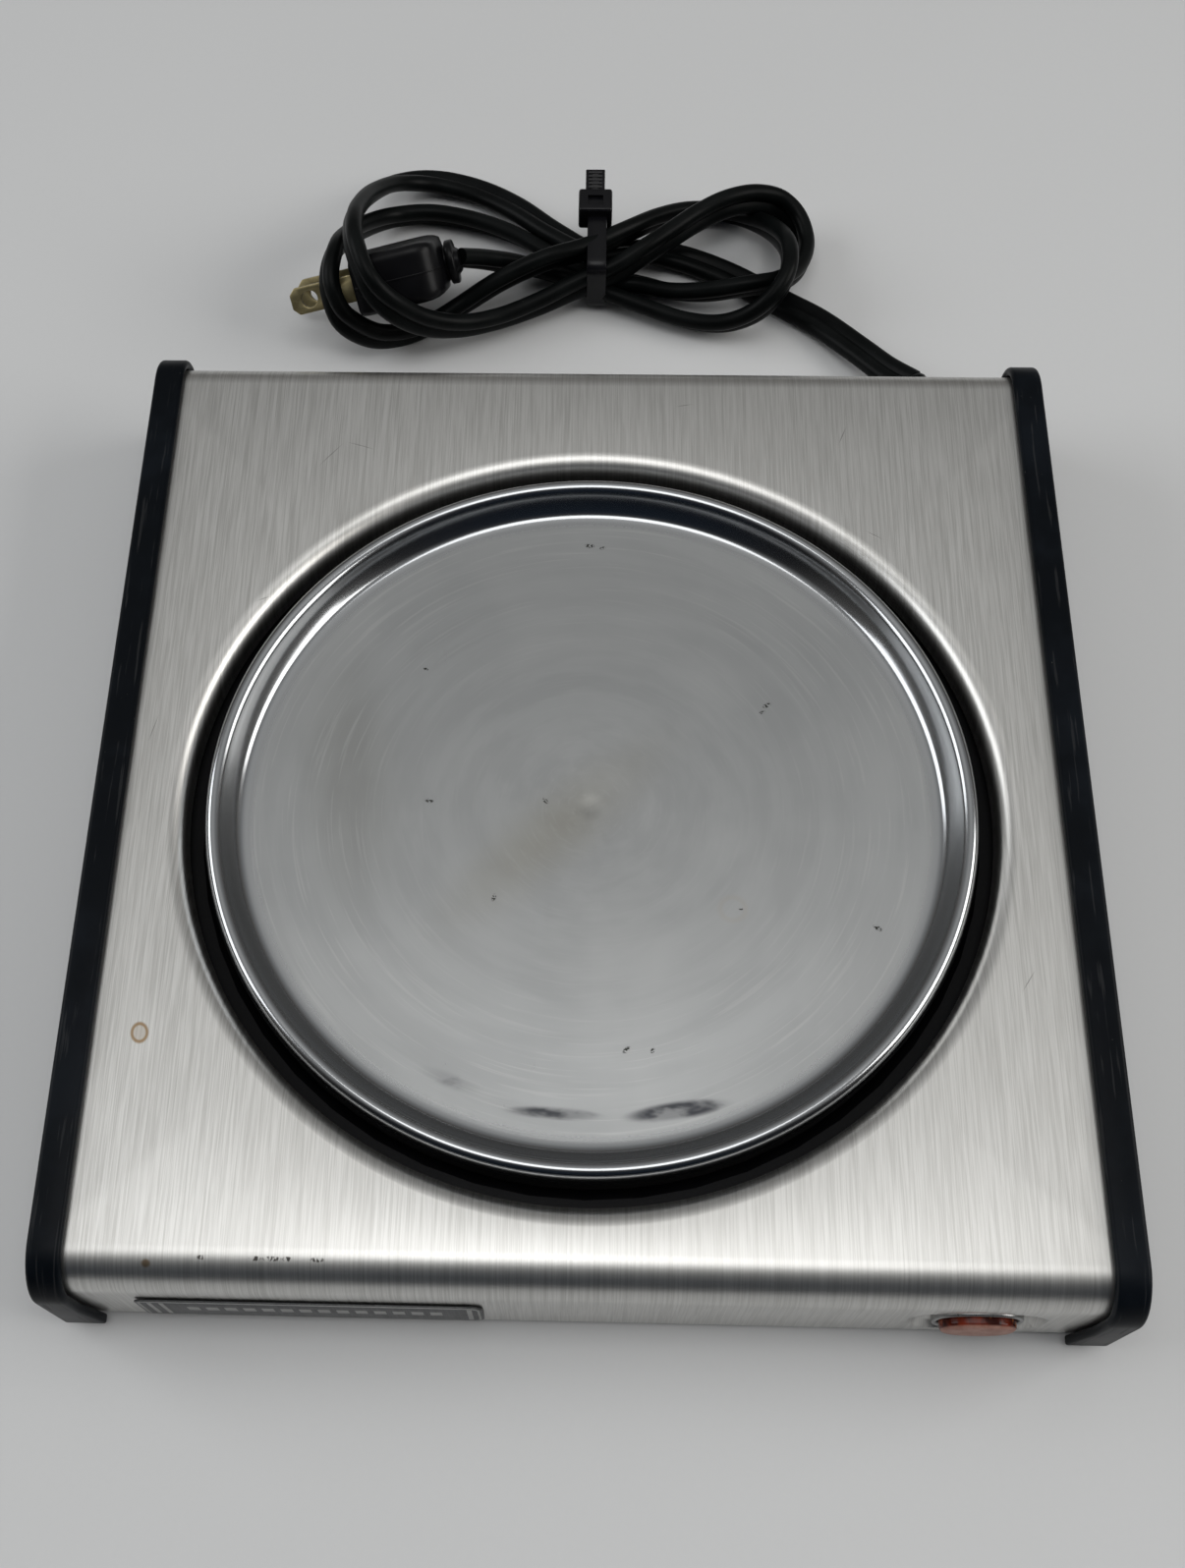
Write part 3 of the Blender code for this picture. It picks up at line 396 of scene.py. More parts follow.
def spun_plate():
    """Plate: satin floor with spun rings and cloudy wear, and a polished cove and rim."""
    f = Finish("satin_plate", (0.60, 0.61, 0.62), 0.22, 1.0)
    centred = f.where(shift=(0, -PLATE_Y, 0))
    x = f.node("ShaderNodeSeparateXYZ", None, {0: centred}, 0)
    y = f.node("ShaderNodeSeparateXYZ", None, {0: centred}, 1)
    radius = f.node("ShaderNodeMath", {"operation": "SQRT"}, {0: x * x + y * y})
    safe = radius + 0.4 * MM
    round_way = f.node("ShaderNodeCombineXYZ", None,
                       {0: x / safe * 2.2, 1: y / safe * 2.2, 2: radius * 1500})
    rings = f.noise(round_way, detail=3, rough=0.6)
    broad_way = f.node("ShaderNodeCombineXYZ", None,
                       {0: x / safe * 1.6, 1: y / safe * 1.6, 2: radius * 210})
    swirl = f.noise(broad_way, detail=3, rough=0.55, twist=0.3)
    floor = f.spread(radius, 67.5 * MM, 71.0 * MM, 1.0, 0.0)
    cloud = f.noise(f.where((26, 26, 26)), detail=4, rough=0.55, twist=0.6)
    rubbed = f.noise(f.where((900, 26, 1), (0, 0, 0.75)), detail=2)
    rubbed_too = f.noise(f.where((800, 22, 1), (0, 0, -0.9), (2, 0, 0)), detail=2)
    steel = f.blend(f.spread(swirl, 0.35, 0.65), (0.395, 0.403, 0.405), (0.425, 0.434, 0.435))
    steel = f.blend(f.spread(cloud, 0.40, 0.74) * 0.4, steel, (0.47, 0.475, 0.473))
    heat = f.spot(-7 * MM, -12 * MM, PLATE_FLOOR, 11 * MM, (3.6, 1.0, 9), 0.76, 1.0)
    heat_cloud = f.spread(cloud, 0.34, 0.70, 1.0, 0.55)
    left = f.spot(-50 * MM, 0, PLATE_FLOOR, 24 * MM, (0.62, 1.7, 9), 0.1, 1.0)
    steel = f.blend(heat * heat_cloud * 0.55, steel, (0.33, 0.315, 0.265))
    steel = f.blend(left * heat_cloud * 0.55, steel, (0.29, 0.29, 0.275))
    worn = f.spread(rings, 0.54, 0.68) * f.spread(radius, 30 * MM, 66 * MM, 0.15, 0.6)
    steel = f.blend(worn, steel, (0.50, 0.505, 0.50))
    grit = f.spread(f.noise(f.where((2100, 2100, 1)), detail=1), 0.44, 0.54)
    marks = grit * sum(
        f.spot(px * MM, py * MM, PLATE_FLOOR, size * MM, (1.5, 0.8, 4), px * 0.1, 0.6)
        for px, py, size in ((-32.7, -5.9, 0.75), (-9.1, -5.5, 0.7), (56.6, -32.2, 0.85), (36.5, 17.3, 0.8),
                             (-0.8, 56.5, 0.9), (-18.8, -27.0, 0.7), (35.5, 15.6, 0.6), (7.5, -58.0, 0.8),
                             (12.5, -58.0, 0.6), (2.0, 56.0, 0.6), (-35, 25, 0.5), (30, -28.6, 0.4)))
    steel = f.blend(marks, steel, (0.04, 0.04, 0.035))
    smear = f.noise(f.where((120, 260, 1)), detail=3)
    oily = (f.spot(17.2 * MM, -69.6 * MM, PLATE_FLOOR, 2.1 * MM, (5.5, 1, 3), 0.16, 0.5)
            + f.spot(-6.0 * MM, -70.6 * MM, PLATE_FLOOR, 1.5 * MM, (7, 1, 3), -0.05, 0.6)
            + f.spot(-26.0 * MM, -64.5 * MM, PLATE_FLOOR, 2.0 * MM, (4, 1, 3), -0.36, 0.8) * 0.5)
    steel = f.blend(oily * f.spread(smear, 0.40, 0.58, 1.0, 0.45), steel, (0.07, 0.072, 0.08))
    tide_away = f.distance(28.4 * MM, -28.6 * MM, PLATE_FLOOR)
    tide = f.spread(tide_away, 1.6 * MM, 2.4 * MM) * f.spread(tide_away, 2.4 * MM, 3.4 * MM, 1.0, 0.0)
    steel = f.blend(tide * 0.35, steel, (0.42, 0.39, 0.35))
    f.set("Base Color", f.blend(floor, (0.375, 0.385, 0.395), steel))
    hazy = 0.21 + 0.10 * cloud + 0.03 * swirl + 0.05 * rubbed
    f.set("Roughness", floor * hazy + (1 - floor) * (0.13 + 0.06 * cloud))
    f.bump(floor * (rings * 0.7 + 0.1 * swirl), 0.006 * MM, 0.4)
    return f.bump(floor * (rubbed + rubbed_too), 0.006 * MM, 0.35)


def moulded_black(name="black_plastic", colour=(0.002, 0.003, 0.0045), roughness=0.33):
    """Satin moulded plastic with a fine spark texture, dust and light scuffs."""
    f = Finish(name, colour, roughness, 0.0, Specular_IOR_Level=0.07)
    spark = f.noise(f.where((2300, 2300, 2300)), detail=2)
    cloud = f.noise(f.where((45, 45, 45)), detail=4, rough=0.6)
    dust = f.spread(f.cells(f.where(), 520), 0.035, 0.06, 1.0, 0.0)
    dust_on = f.spread(f.noise(f.where((70, 70, 70))), 0.55, 0.65)
    scuff = f.spread(f.noise(f.where((1200, 60, 60)), detail=3), 0.60, 0.68)
    lighter = tuple(c * 1.9 + 0.001 for c in colour)
    shade_now = f.blend(f.spread(cloud, 0.4, 0.7), colour, lighter)
    shade_now = f.blend(scuff * 0.10, shade_now, (0.12, 0.12, 0.12))
    f.set("Base Color", f.blend(dust * dust_on * 0.35, shade_now, (0.30, 0.29, 0.27)))
    f.set("Roughness", roughness - 0.05 + 0.16 * cloud + 0.1 * scuff)
    return f.bump(spark, 0.02 * MM, 0.35)


def soft_rubber(name, colour, roughness=0.42, level=0.3):
    """Extruded or moulded black compound: faint flow lines, bloom and dust."""
    f = Finish(name, colour, roughness, 0.0, Specular_IOR_Level=level)
    skin = f.noise(f.where((900, 900, 900)), detail=3)
    bloom = f.noise(f.where((60, 60, 60)), detail=3, rough=0.6)
    lint = f.spread(f.cells(f.where(), 640), 0.03, 0.05, 1.0, 0.0)
    lint_on = f.spread(f.noise(f.where((90, 90, 90))), 0.58, 0.66)
    lighter = tuple(c * 1.8 + 0.001 for c in colour)
    shade_now = f.blend(f.spread(bloom, 0.35, 0.7), colour, lighter)
    f.set("Base Color", f.blend(lint * lint_on * 0.3, shade_now, (0.28, 0.27, 0.25)))
    f.set("Roughness", roughness - 0.06 + 0.14 * bloom + 0.05 * skin)
    return f.bump(skin, 0.025 * MM, 0.3)


def plated(name, colour, roughness, blotch=0.3, scale=900):
    """Plated or rolled metal: fine mottling, a dull cast and small rub marks."""
    f = Finish(name, colour, roughness, 1.0)
    mottle = f.cells(f.where(), scale)
    cloud = f.noise(f.where((80, 80, 80)), detail=4, rough=0.6)
    rub = f.noise(f.where((2200, 120, 120), (0, 0, 0.6)), detail=2)
    darker = tuple(c * 0.62 for c in colour)
    shade_now = f.blend(f.spread(cloud, 0.35, 0.7) * blotch + f.spread(mottle, 0.2, 0.7) * 0.12,
                        colour, darker)
    f.set("Base Color", shade_now)
    f.set("Roughness", roughness + 0.12 * cloud + 0.06 * rub)
    return f.bump(rub, 0.01 * MM, 0.3)


def tired_brass():
    """Plug blades: bare brass gone dull and brown, bright where they rub."""
    f = Finish("brass", (0.42, 0.31, 0.12), 0.34, 1.0)
    cloud = f.noise(f.where((190, 190, 190)), detail=4, rough=0.6)
    rub = f.noise(f.where((60, 1500, 1500)), detail=2)
    shade_now = f.blend(f.spread(cloud, 0.35, 0.65), (0.40, 0.34, 0.185), (0.24, 0.20, 0.105))
    f.set("Base Color", f.blend(f.spread(rub, 0.58, 0.7) * 0.4, shade_now, (0.52, 0.46, 0.28)))
    f.set("Roughness", 0.28 + 0.22 * cloud + 0.05 * rub)
    return f.bump(rub, 0.012 * MM, 0.4)


def amber_lens():
    """Button: deep amber sides with painted glints for light off the facets inside, a frosted front, and a
    faint painted glow.
    """
    f = Finish("amber_lens", (0.50, 0.05, 0.01), 0.2, 0.0, Specular_IOR_Level=0.16)
    facets_and_painted_glint = f.cells(f.where((1, 0.5, 1)), 620)
    deep = f.noise(f.where((420, 160, 420)), detail=3)
    sides = f.blend(f.spread(deep, 0.42, 0.66), (0.03, 0.004, 0.002), (0.17, 0.02, 0.006))
    # painted glints: orange flecks in the side colour stand in for light caught by the facets inside; the
    # same cells also bump the surface
    sides = f.blend(f.spread(facets_and_painted_glint, 0.08, 0.26, 0.55, 0.0), sides, (0.55, 0.17, 0.04))
    depth = f.along("Y")
    front = f.spread(depth, BUTTON_LOW.y + 0.42 * MM, BUTTON_LOW.y + 0.9 * MM, 1.0, 0.0)
    frost = f.noise(f.where((300, 300, 300)), detail=4, rough=0.65)
    face = f.blend(f.spread(frost, 0.35, 0.65), (0.30, 0.135, 0.10), (0.42, 0.24, 0.19))
    colour = f.blend(front, sides, face)
    f.set("Base Color", colour)
    f.set("Roughness", 0.16 + front * (0.18 + 0.2 * frost))
    # painted glow: the lens gives off a little light of its own colour, standing in for light passing
    # through the amber
    f.set("Emission Color", colour)
    f.set("Emission Strength", 0.06)
    return f.bump(facets_and_painted_glint, 0.08 * MM, 0.3)


def clear_glass():
    f = Finish("clear_glass", (0.80, 0.62, 0.50), 0.06, 0.0, Coat_Weight=1.0)
    smoke = f.noise(f.where((260, 260, 260)), detail=3)
    f.set("Base Color", f.blend(smoke, (0.85, 0.72, 0.62), (0.55, 0.36, 0.27)))
    f.set("Roughness", 0.04 + 0.06 * smoke)
    return f


def fired(name, colour, speck_colour, roughness=0.6):
    """Ceramic, enamel or pressed fibre: a fine speckle and an uneven surface."""
    f = Finish(name, colour, roughness, Specular_IOR_Level=0.1)
    speck = f.noise(f.where((1700, 1700, 1700)), detail=2)
    cloud = f.noise(f.where((70, 70, 70)), detail=4)
    shade_now = f.blend(f.spread(speck, 0.55, 0.7) * 0.5, colour, speck_colour)
    f.set("Base Color", f.blend(f.spread(cloud, 0.4, 0.7) * 0.3, shade_now, speck_colour))
    f.set("Roughness", roughness - 0.06 + 0.18 * cloud)
    return f.bump(speck, 0.02 * MM, 0.4)


def element_sheath():
    f = Finish("element_sheath", (0.20, 0.17, 0.15), 0.5, 1.0)
    scale = f.noise(f.where((140, 140, 140)), detail=5, rough=0.65)
    colour = f.blend(f.spread(scale, 0.38, 0.62), (0.13, 0.10, 0.09), (0.34, 0.27, 0.20))
    f.set("Base Color", colour)
    f.set("Roughness", 0.42 + 0.3 * scale)
    return f.bump(scale, 0.05 * MM, 0.5)


def printed_grey():
    """Label plate: dark grey print over bright metal."""
    f = Finish("grey_print", (0.115, 0.118, 0.122), 0.36, 0.55)
    grain = f.noise(f.where((2400, 2400, 60)), detail=2)
    wear = f.noise(f.where((180, 180, 180)), detail=4, rough=0.65)
    shade_now = f.blend(f.spread(grain, 0.35, 0.65), (0.055, 0.057, 0.059), (0.085, 0.087, 0.09))
    f.set("Base Color", f.blend(f.spread(wear, 0.62, 0.72) * 0.5, shade_now, (0.16, 0.16, 0.157)))
    f.set("Roughness", 0.34 + 0.16 * wear)
    return f.bump(grain, 0.01 * MM, 0.3)


def glossy_nylon():
    f = Finish("black_nylon", (0.003, 0.003, 0.004), 0.22, 0.0, Specular_IOR_Level=0.2)
    flow = f.noise(f.where((300, 60, 300)), detail=3)
    f.set("Base Color", f.blend(flow, (0.002, 0.002, 0.003), (0.006, 0.006, 0.007)))
    f.set("Roughness", 0.17 + 0.16 * flow)
    return f.bump(flow, 0.03 * MM, 0.35)


def paper_sheet():
    """The pale surface the object stands on."""
    f = Finish("pale_sheet", (0.66, 0.665, 0.67), 0.62)
    tooth = f.noise(f.where((700, 700, 700)), detail=3)
    cloud = f.noise(f.where((5, 5, 5)), detail=3)
    f.set("Base Color", f.blend(cloud * 0.6 + tooth * 0.25, (0.555, 0.56, 0.562), (0.615, 0.62, 0.622)))
    f.set("Roughness", 0.5 + 0.15 * tooth)
    return f.bump(tooth, 0.03 * MM, 0.25)


FINISHES = {made.name: made.mat for made in (
    brushed_steel(), spun_plate(), moulded_black(), amber_lens(), clear_glass(), element_sheath(),
    moulded_black("switch_plastic", (0.016, 0.016, 0.017), 0.45),
    soft_rubber("black_rubber", (0.002, 0.0025, 0.0025), 0.34, 0.07),
    soft_rubber("plug_rubber", (0.0022, 0.0022, 0.0027), 0.30, 0.14),
    soft_rubber("grey_rubber", (0.075, 0.075, 0.075), 0.75),
    soft_rubber("black_wire", (0.014, 0.014, 0.015), 0.38),
    soft_rubber("white_wire", (0.62, 0.60, 0.56), 0.45),
    fired("black_ceramic", (0.004, 0.004, 0.004), (0.010, 0.010, 0.010), 0.75),
    fired("black_enamel", (0.0025, 0.0025, 0.003), (0.006, 0.006, 0.007), 0.45),
    fired("white_ceramic", (0.70, 0.68, 0.63), (0.58, 0.55, 0.49), 0.5),
    fired("white_sleeve", (0.72, 0.70, 0.65), (0.55, 0.52, 0.46), 0.75),
    fired("brown_phenolic", (0.12, 0.045, 0.018), (0.20, 0.09, 0.04), 0.45),
    plated("zinc_steel", (0.56, 0.57, 0.58), 0.30, 0.45, 260),
    plated("bright_trim", (0.30, 0.30, 0.295), 0.20, 0.2, 1500),
    plated("bright_line", (0.36, 0.36, 0.35), 0.30, 0.2, 1500),
    tired_brass(), printed_grey(), glossy_nylon(), paper_sheet())}


# ---------------------------------------------------------------- case

def strip(work, upper, lower, closed):
    """Faces between two rows of points on the sheet."""
    for i in range(len(upper) if closed else len(upper) - 1):
        j = (i + 1) % len(upper)
        work.faces.new((upper[i], lower[i], lower[j], upper[j]))


def dish(x, z):
    """How far the front is pressed in at a point."""
    u = abs(x - SWITCH_X) / (DISH_SIZE[0] / 2)
    v = abs(z - SWITCH_Z) / (DISH_SIZE[1] / 2)
    out = (u ** OVAL_POWER + v ** OVAL_POWER) ** (1 / OVAL_POWER)
    return DISH_DEPTH * smoothstep((1.01 - out) / 0.13)


def case_sheet():
    """Sheet bent over front and back: rolled lip at the plate, dished round the button."""
    half_x = WIDTH / 2 - CAP_WALL - 0.3 * MM
    flat_y = -SHEET_FRONT - SHEET_RADIUS
    across, deep = 190, 60
    sides = [(across, (-1, -1), (1, -1)), (deep, (1, -1), (1, 1)), (across, (1, 1), (-1, 1)),
             (deep, (-1, 1), (-1, -1))]
    work = bmesh.new()
    edge, turns = [], []
    for number, (count, a, b) in enumerate(sides):
        for k in range(count):
            t = k / count
            edge.append(work.verts.new(((a[0] + (b[0] - a[0]) * t) * half_x,
                                        (a[1] + (b[1] - a[1]) * t) * flat_y, SHEET_TOP)))
            turns.append(radians(-135 + 90 * (number + t)))
    total = len(edge)
    outside = edge
    rolls = [radians(90 * k / 10) for k in range(11)]
    rings = [(LIP_RADIUS + LIP_ROLL * (1 - sin(a)), SHEET_TOP - LIP_ROLL * (1 - cos(a))) for a in rolls]
    rings.append((LIP_RADIUS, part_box("reflector_pan")[1].z + 1.4 * MM))
    for reach, z in rings:
        ring = [work.verts.new((reach * cos(a), PLATE_Y + reach * sin(a), z)) for a in turns]
        strip(work, ring, outside, True)
        outside = ring
    bend = [(flat_y + SHEET_RADIUS * sin(a), SHEET_TOP - SHEET_RADIUS * (1 - cos(a)))
            for a in (radians(90 * k / 12) for k in range(1, 13))]
    rows, low = 30, SHEET_LOW.z
    start_z = SHEET_TOP - SHEET_RADIUS
    face = [(-SHEET_FRONT, start_z + (low - start_z) * k / rows) for k in range(1, rows + 1)]
    for way, first in ((-1, 0), (1, across + deep)):
        upper = [edge[(first + k) % total] for k in range(across + 1)]
        for number, (y, z) in enumerate(bend + face):
            press = number >= len(bend) and way < 0
            lower = [work.verts.new((v.co.x, way * (y - (dish(v.co.x, z) if press else 0)), z))
                     for v in upper]
            strip(work, upper, lower, False)
            upper = lower
    bmesh.ops.recalc_face_normals(work, faces=work.faces)
    if max(work.faces, key=lambda part: part.calc_center_median().z).normal.z < 0:
        bmesh.ops.reverse_faces(work, faces=work.faces)
    obj = solid("case_sheet", work, "brushed_steel")
    wall = obj.modifiers.new("wall", "SOLIDIFY")
    wall.thickness = SHEET
    wall.offset = -1
    settle(obj)
    opening = (BUTTON_SIZE[0] + 2 * COLLAR + 0.5 * MM, BUTTON_SIZE[1] + 2 * COLLAR + 0.5 * MM)
    cut(obj, slab("opening", oval(*opening), 8 * MM, place(SWITCH_X, SHEET_FRONT, SWITCH_Z) @ UPRIGHT))
    hole = arc(0, 0, 5.2 * MM, 0, 337.5, 15)
    cut(obj, slab("lead_hole", hole, 8 * MM, place(EXIT_X, -SHEET_FRONT, EXIT_Z) @ UPRIGHT))
    shade(obj, 32)
    ride(obj, stands_for=["casing_wrap"])


def side_outline(inset, bottom=CAP_BOTTOM, steps=12):
    half, top, radius = DEPTH / 2 - inset, HEIGHT - inset, CAP_RADIUS - inset
    return ([(-half, bottom), (half, bottom)]
            + arc(half - radius, top - radius, radius, 0, 90, steps)
            + arc(radius - half, top - radius, radius, 90, 180, steps))


# Corner foot of a cap, seen from the front: (distance in from the cap's own edge, height).
GUSSET = [(4.0 * MM, 2.02 * MM), (8.3 * MM, 2.02 * MM), (8.3 * MM, 2.8 * MM), (5.6 * MM, 18.0 * MM),
          (4.0 * MM, 18.0 * MM)]


def end_cap(name, side):
    """Moulded cap: softened outer edge, rim over the sheet, ledge and screw bosses inside."""
    obj = slab(name + "_moulding", side_outline(0), CAP_REACH,
               place(side * (WIDTH / 2 - CAP_REACH / 2)) @ ACROSS, "black_plastic")
    pocket = slab("pocket", side_outline(RIM, CAP_BOTTOM - 5 * MM), CAP_REACH,
                  place(side * (WIDTH / 2 - CAP_WALL - CAP_REACH / 2)) @ ACROSS)
    cut(obj, pocket)
    round_edges(obj, 0.9 * MM, 4)
    low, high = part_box("base_screw_front_" + name.rsplit("_", 1)[1])
    for y in ((low.y + high.y) / 2, -(low.y + high.y) / 2):
        x = (low.x + high.x) / 2
        near, far = sorted((x - side * BOSS_REACH, side * (WIDTH / 2 - CAP_WALL + 0.5 * MM)))
        join(obj, block("boss", (near, y - BOSS_HALF, BOSS_LOW), (far, y + BOSS_HALF, BOSS_HIGH)))
        hole = arc(0, 0, SCREW_HOLE_RADIUS, 0, 340, 17)
        cut(obj, slab("screw_hole", hole, SCREW_HOLE_DEPTH, place(x, y, 4 * MM)))
    for end in (-1, 1):
        outline = [(side * (WIDTH / 2 - reach), z) for reach, z in GUSSET]
        middle = end * (DEPTH / 2 - RIM / 2)
        gusset = slab("gusset", outline, RIM - 0.12 * MM, place(y=middle) @ UPRIGHT)
        join(obj, round_edges(gusset, 0.45 * MM, 3))
    shade(obj, 40)
    ride(obj, stands_for=[name])


# ---------------------------------------------------------------- plate

def spun_warming_plate():
    """Turned plate, 1.2 mm thick: dimpled middle, flat floor, cove, crest and turned-down rim."""
    floor, crest, edge = PLATE_FLOOR / MM, PLATE_CREST / MM, PLATE_RADIUS / MM
    top = [(0.02, floor - 0.13), (0.9, floor - 0.12), (1.7, floor - 0.07), (2.6, floor - 0.02),
           (3.6, floor), (30, floor), (55, floor), (69.3, floor), (70.1, floor + 0.05),
           (70.75, floor + 0.2), (71.3, floor + 0.5), (71.75, floor + 0.95), (72.25, floor + 1.6),
           (72.8, floor + 2.3), (73.3, floor + 3.1), (73.75, crest - 1.75), (74.1, crest - 1.0),
           (74.5, crest - 0.48), (75.05, crest - 0.13), (75.7, crest), (76.3, crest - 0.16),
           (76.85, crest - 0.62), (77.25, crest - 1.3), (77.5, crest - 2.3), (77.6, crest - 3.4),
           (edge, floor + 1.82)]
    wall = 1.1
    under = [(edge - wall, floor + 1.82), (76.5, crest - 3.2), (76.3, crest - 1.9), (75.7, crest - 1.2),
             (75.2, crest - 1.5), (74.6, crest - 2.6), (73.0, floor + 0.2), (71.6, floor - 0.75),
             (70.0, floor - 1.15), (60, floor - 1.2), (20, floor - 1.2), (2.6, floor - 1.25),
             (0.02, floor - 1.55)]
    profile = [(r * MM, z * MM) for r, z in top + under]
    obj = turned("spun_plate", profile, 0, PLATE_Y, "satin_plate", 256)
    shade(obj, 50)
    ride(obj, stands_for=["warming_plate"])


# ---------------------------------------------------------------- switch

def oval_rows(rows):
    """Ovals for a skin: each row is (width, height, y)."""
    return [[(SWITCH_X + x, y, SWITCH_Z + z) for x, z in oval(w, h)] for w, h, y in rows]


def button():
    """Lens with a soft dome, straight sides and the stem that pushes the switch."""
    w, h = BUTTON_SIZE
    front, back = BUTTON_LOW.y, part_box("switch_body")[0].y + 4.2 * MM
    dome = [(0.02, 0.0), (0.30, 0.02), (0.55, 0.08), (0.74, 0.17), (0.86, 0.28), (0.93, 0.42),
            (0.972, 0.62), (0.993, 0.9), (1.0, 1.3)]
    rows = [(w * s, h * s, front + d * MM) for s, d in dome] + [(w, h, back)]
    obj = loft("button_lens", oval_rows(rows), "amber_lens", angle=50)
    stem_x = SWITCH_X - 3.4 * MM
    stem = slab("stem", arc(0, 0, 2.2 * MM, 0, 345, 23), 13 * MM,
                place(stem_x, back + 5.5 * MM, SWITCH_Z) @ UPRIGHT)
    join(obj, stem)
    shade(obj, 50)
    ride(obj, "button", ["power_button"])


def collar():
    """Bright collar round the button, with a rolled front edge."""
    front = SHEET_FRONT - 0.1 * MM
    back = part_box("switch_collar")[1].y
    inner = (BUTTON_SIZE[0] + 0.9 * MM, BUTTON_SIZE[1] + 0.9 * MM)

    def oval_at(out, y):
        return (inner[0] + 2 * out * MM, inner[1] + 2 * out * MM, y)

    rows = [oval_at(0, back), oval_at(0, front + 0.35 * MM), oval_at(0.1, front + 0.1 * MM),
            oval_at(0.3, front), oval_at(0.65, front), oval_at(0.85, front + 0.1 * MM),
            oval_at(0.95, front + 0.35 * MM), oval_at(0.95, back)]
    obj = loft("button_collar", oval_rows(rows), "bright_trim", closed=True, angle=50)
    ride(obj, stands_for=["switch_collar"])


def return_spring():
    """Coil on the button's stem."""
    low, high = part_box("button_spring")
    wire = 0.35 * MM
    x, z = (low.x + high.x) / 2, (low.z + high.z) / 2
    radius = (high.x - low.x) / 2 - wire
    steps, turns_count = 28, 5
    rows = []
    for k in range(steps * turns_count + 1):
        a = 2 * pi * k / steps
        y = low.y + wire + (high.y - low.y - 2 * wire) * k / (steps * turns_count)
        out = Vector((cos(a), 0, sin(a)))
        centre = Vector((x, y, z)) + out * radius
        rows.append([centre + wire * (out * cos(b) + Vector((0, sin(b), 0)))
                     for b in (2 * pi * j / 10 for j in range(10))])
    obj = loft("return_spring", rows, "zinc_steel", angle=60)
    ride(obj, stands_for=["button_spring"])
    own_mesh(obj)


def label_plate():
    """Plain label plate: raised border, two bars at the left, one at the right, a row of ticks."""
    low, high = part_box("nameplate")
    x0, x1, z0, z1 = low.x, high.x, low.z, high.z
    front = low.y
    corner = 1.2 * MM

    def outline(inset, right=2.6 * MM):
        r = max(corner - inset, 0.3 * MM)
        big = max(right - inset, 0.3 * MM)
        return (arc(x1 - inset - big, z1 - inset - big, big, 0, 90, 6)
                + arc(x0 + inset + r, z1 - inset - r, r, 90, 180, 4)
                + arc(x0 + inset + r, z0 + inset + r, r, 180, 270, 4)
                + arc(x1 - inset - big, z0 + inset + big, big, 270, 360, 6))

    def at(y):
        return place(y=y) @ UPRIGHT

    thick = high.y - low.y
    obj = slab("label_plate", outline(0), thick - 0.06 * MM, at(front + 0.03 * MM + thick / 2),
               "grey_print")
    round_edges(obj, 0.08 * MM, 2)
    border = slab("label_border", outline(0.5 * MM), 0.10 * MM, at(front + 0.05 * MM), "bright_line")
    cut(border, slab("inside", outline(0.95 * MM), 1 * MM, at(front)))
    bars = [(x0 + 2.2 * MM, 0.8 * MM), (x0 + 4.4 * MM, 0.8 * MM), (x1 - 2.9 * MM, 0.9 * MM)]
    for number, (x, width) in enumerate(bars):
        bar = block(f"label_bar_{number + 1}", (x, z0 + 1.6 * MM, -0.05 * MM),
                    (x + width, z1 - 1.6 * MM, 0.05 * MM), at(front + 0.05 * MM), "bright_line")
        bar.parent = border
    ticks = 14
    for k in range(ticks):
        x = x0 + 9 * MM + k * 3.5 * MM
        tick = block(f"label_tick_{k + 1}", (x, z0 + 5.6 * MM, -0.04 * MM),
                     (x + 2.2 * MM, z0 + 8.6 * MM, 0.04 * MM), at(front + 0.06 * MM), "bright_line")
        tick.parent = border
    ride(obj, stands_for=["nameplate"])
    ride(border)


# ---------------------------------------------------------------- lead

# Centre of the lead in millimetres, and how its width is turned in degrees: 0 lies flat.
LEAD_START = [(76.4, 118.2, 7.3, 8), (71.0, 123.9, 5.6, 4), (65.2, 131.2, 4.0, 0),
              (56.2, 140.9, 2.6, 0), (46.9, 147.6, 2.2, 0), (33.2, 156.6, 2.3, 0),
              (21.0, 161.6, 3.0, -5), (10.5, 162.2, 4.6, -18), (0.0, 160.4, 5.6, -34)]
FIRST_LOOP = [(-11.0, 167.6, 5.2, -24), (-21.5, 177.6, 3.6, -14), (-32.0, 184.3, 2.8, -12),
              (-43.2, 186.7, 3.6, -18), (-52.4, 182.0, 7.4, -32), (-57.6, 170.8, 14.6, -48),
              (-59.3, 157.6, 22.6, -62), (-59.0, 147.2, 27.9, -72), (-57.6, 138.7, 29.5, -76),
              (-54.4, 131.4, 26.8, -78), (-49.6, 128.6, 21.8, -84), (-42.6, 129.8, 14.6, -96),
              (-34.2, 133.4, 9.0, -108), (-24.8, 137.8, 6.6, -112), (-14.4, 142.6, 6.8, -104),
              (-4.5, 147.4, 8.2, -94), (4.0, 150.4, 9.8, -92)]
SECOND_LOOP = [(11.8, 155.0, 11.8, -92), (19.2, 160.6, 12.6, -88), (25.9, 165.9, 12.9, -84),
               (33.0, 169.8, 13.4, -81), (40.3, 172.8, 12.0, -80), (46.9, 173.4, 9.4, -82),
               (51.6, 169.8, 6.6, -85), (53.1, 163.2, 5.0, -82), (50.7, 155.2, 6.0, -76),
               (45.3, 149.4, 8.0, -68), (37.2, 147.0, 8.8, -64), (28.0, 147.0, 6.8, -60),
               (19.5, 149.2, 4.4, -50), (10.8, 152.4, 3.4, -42), (1.0, 154.8, 3.3, -38)]
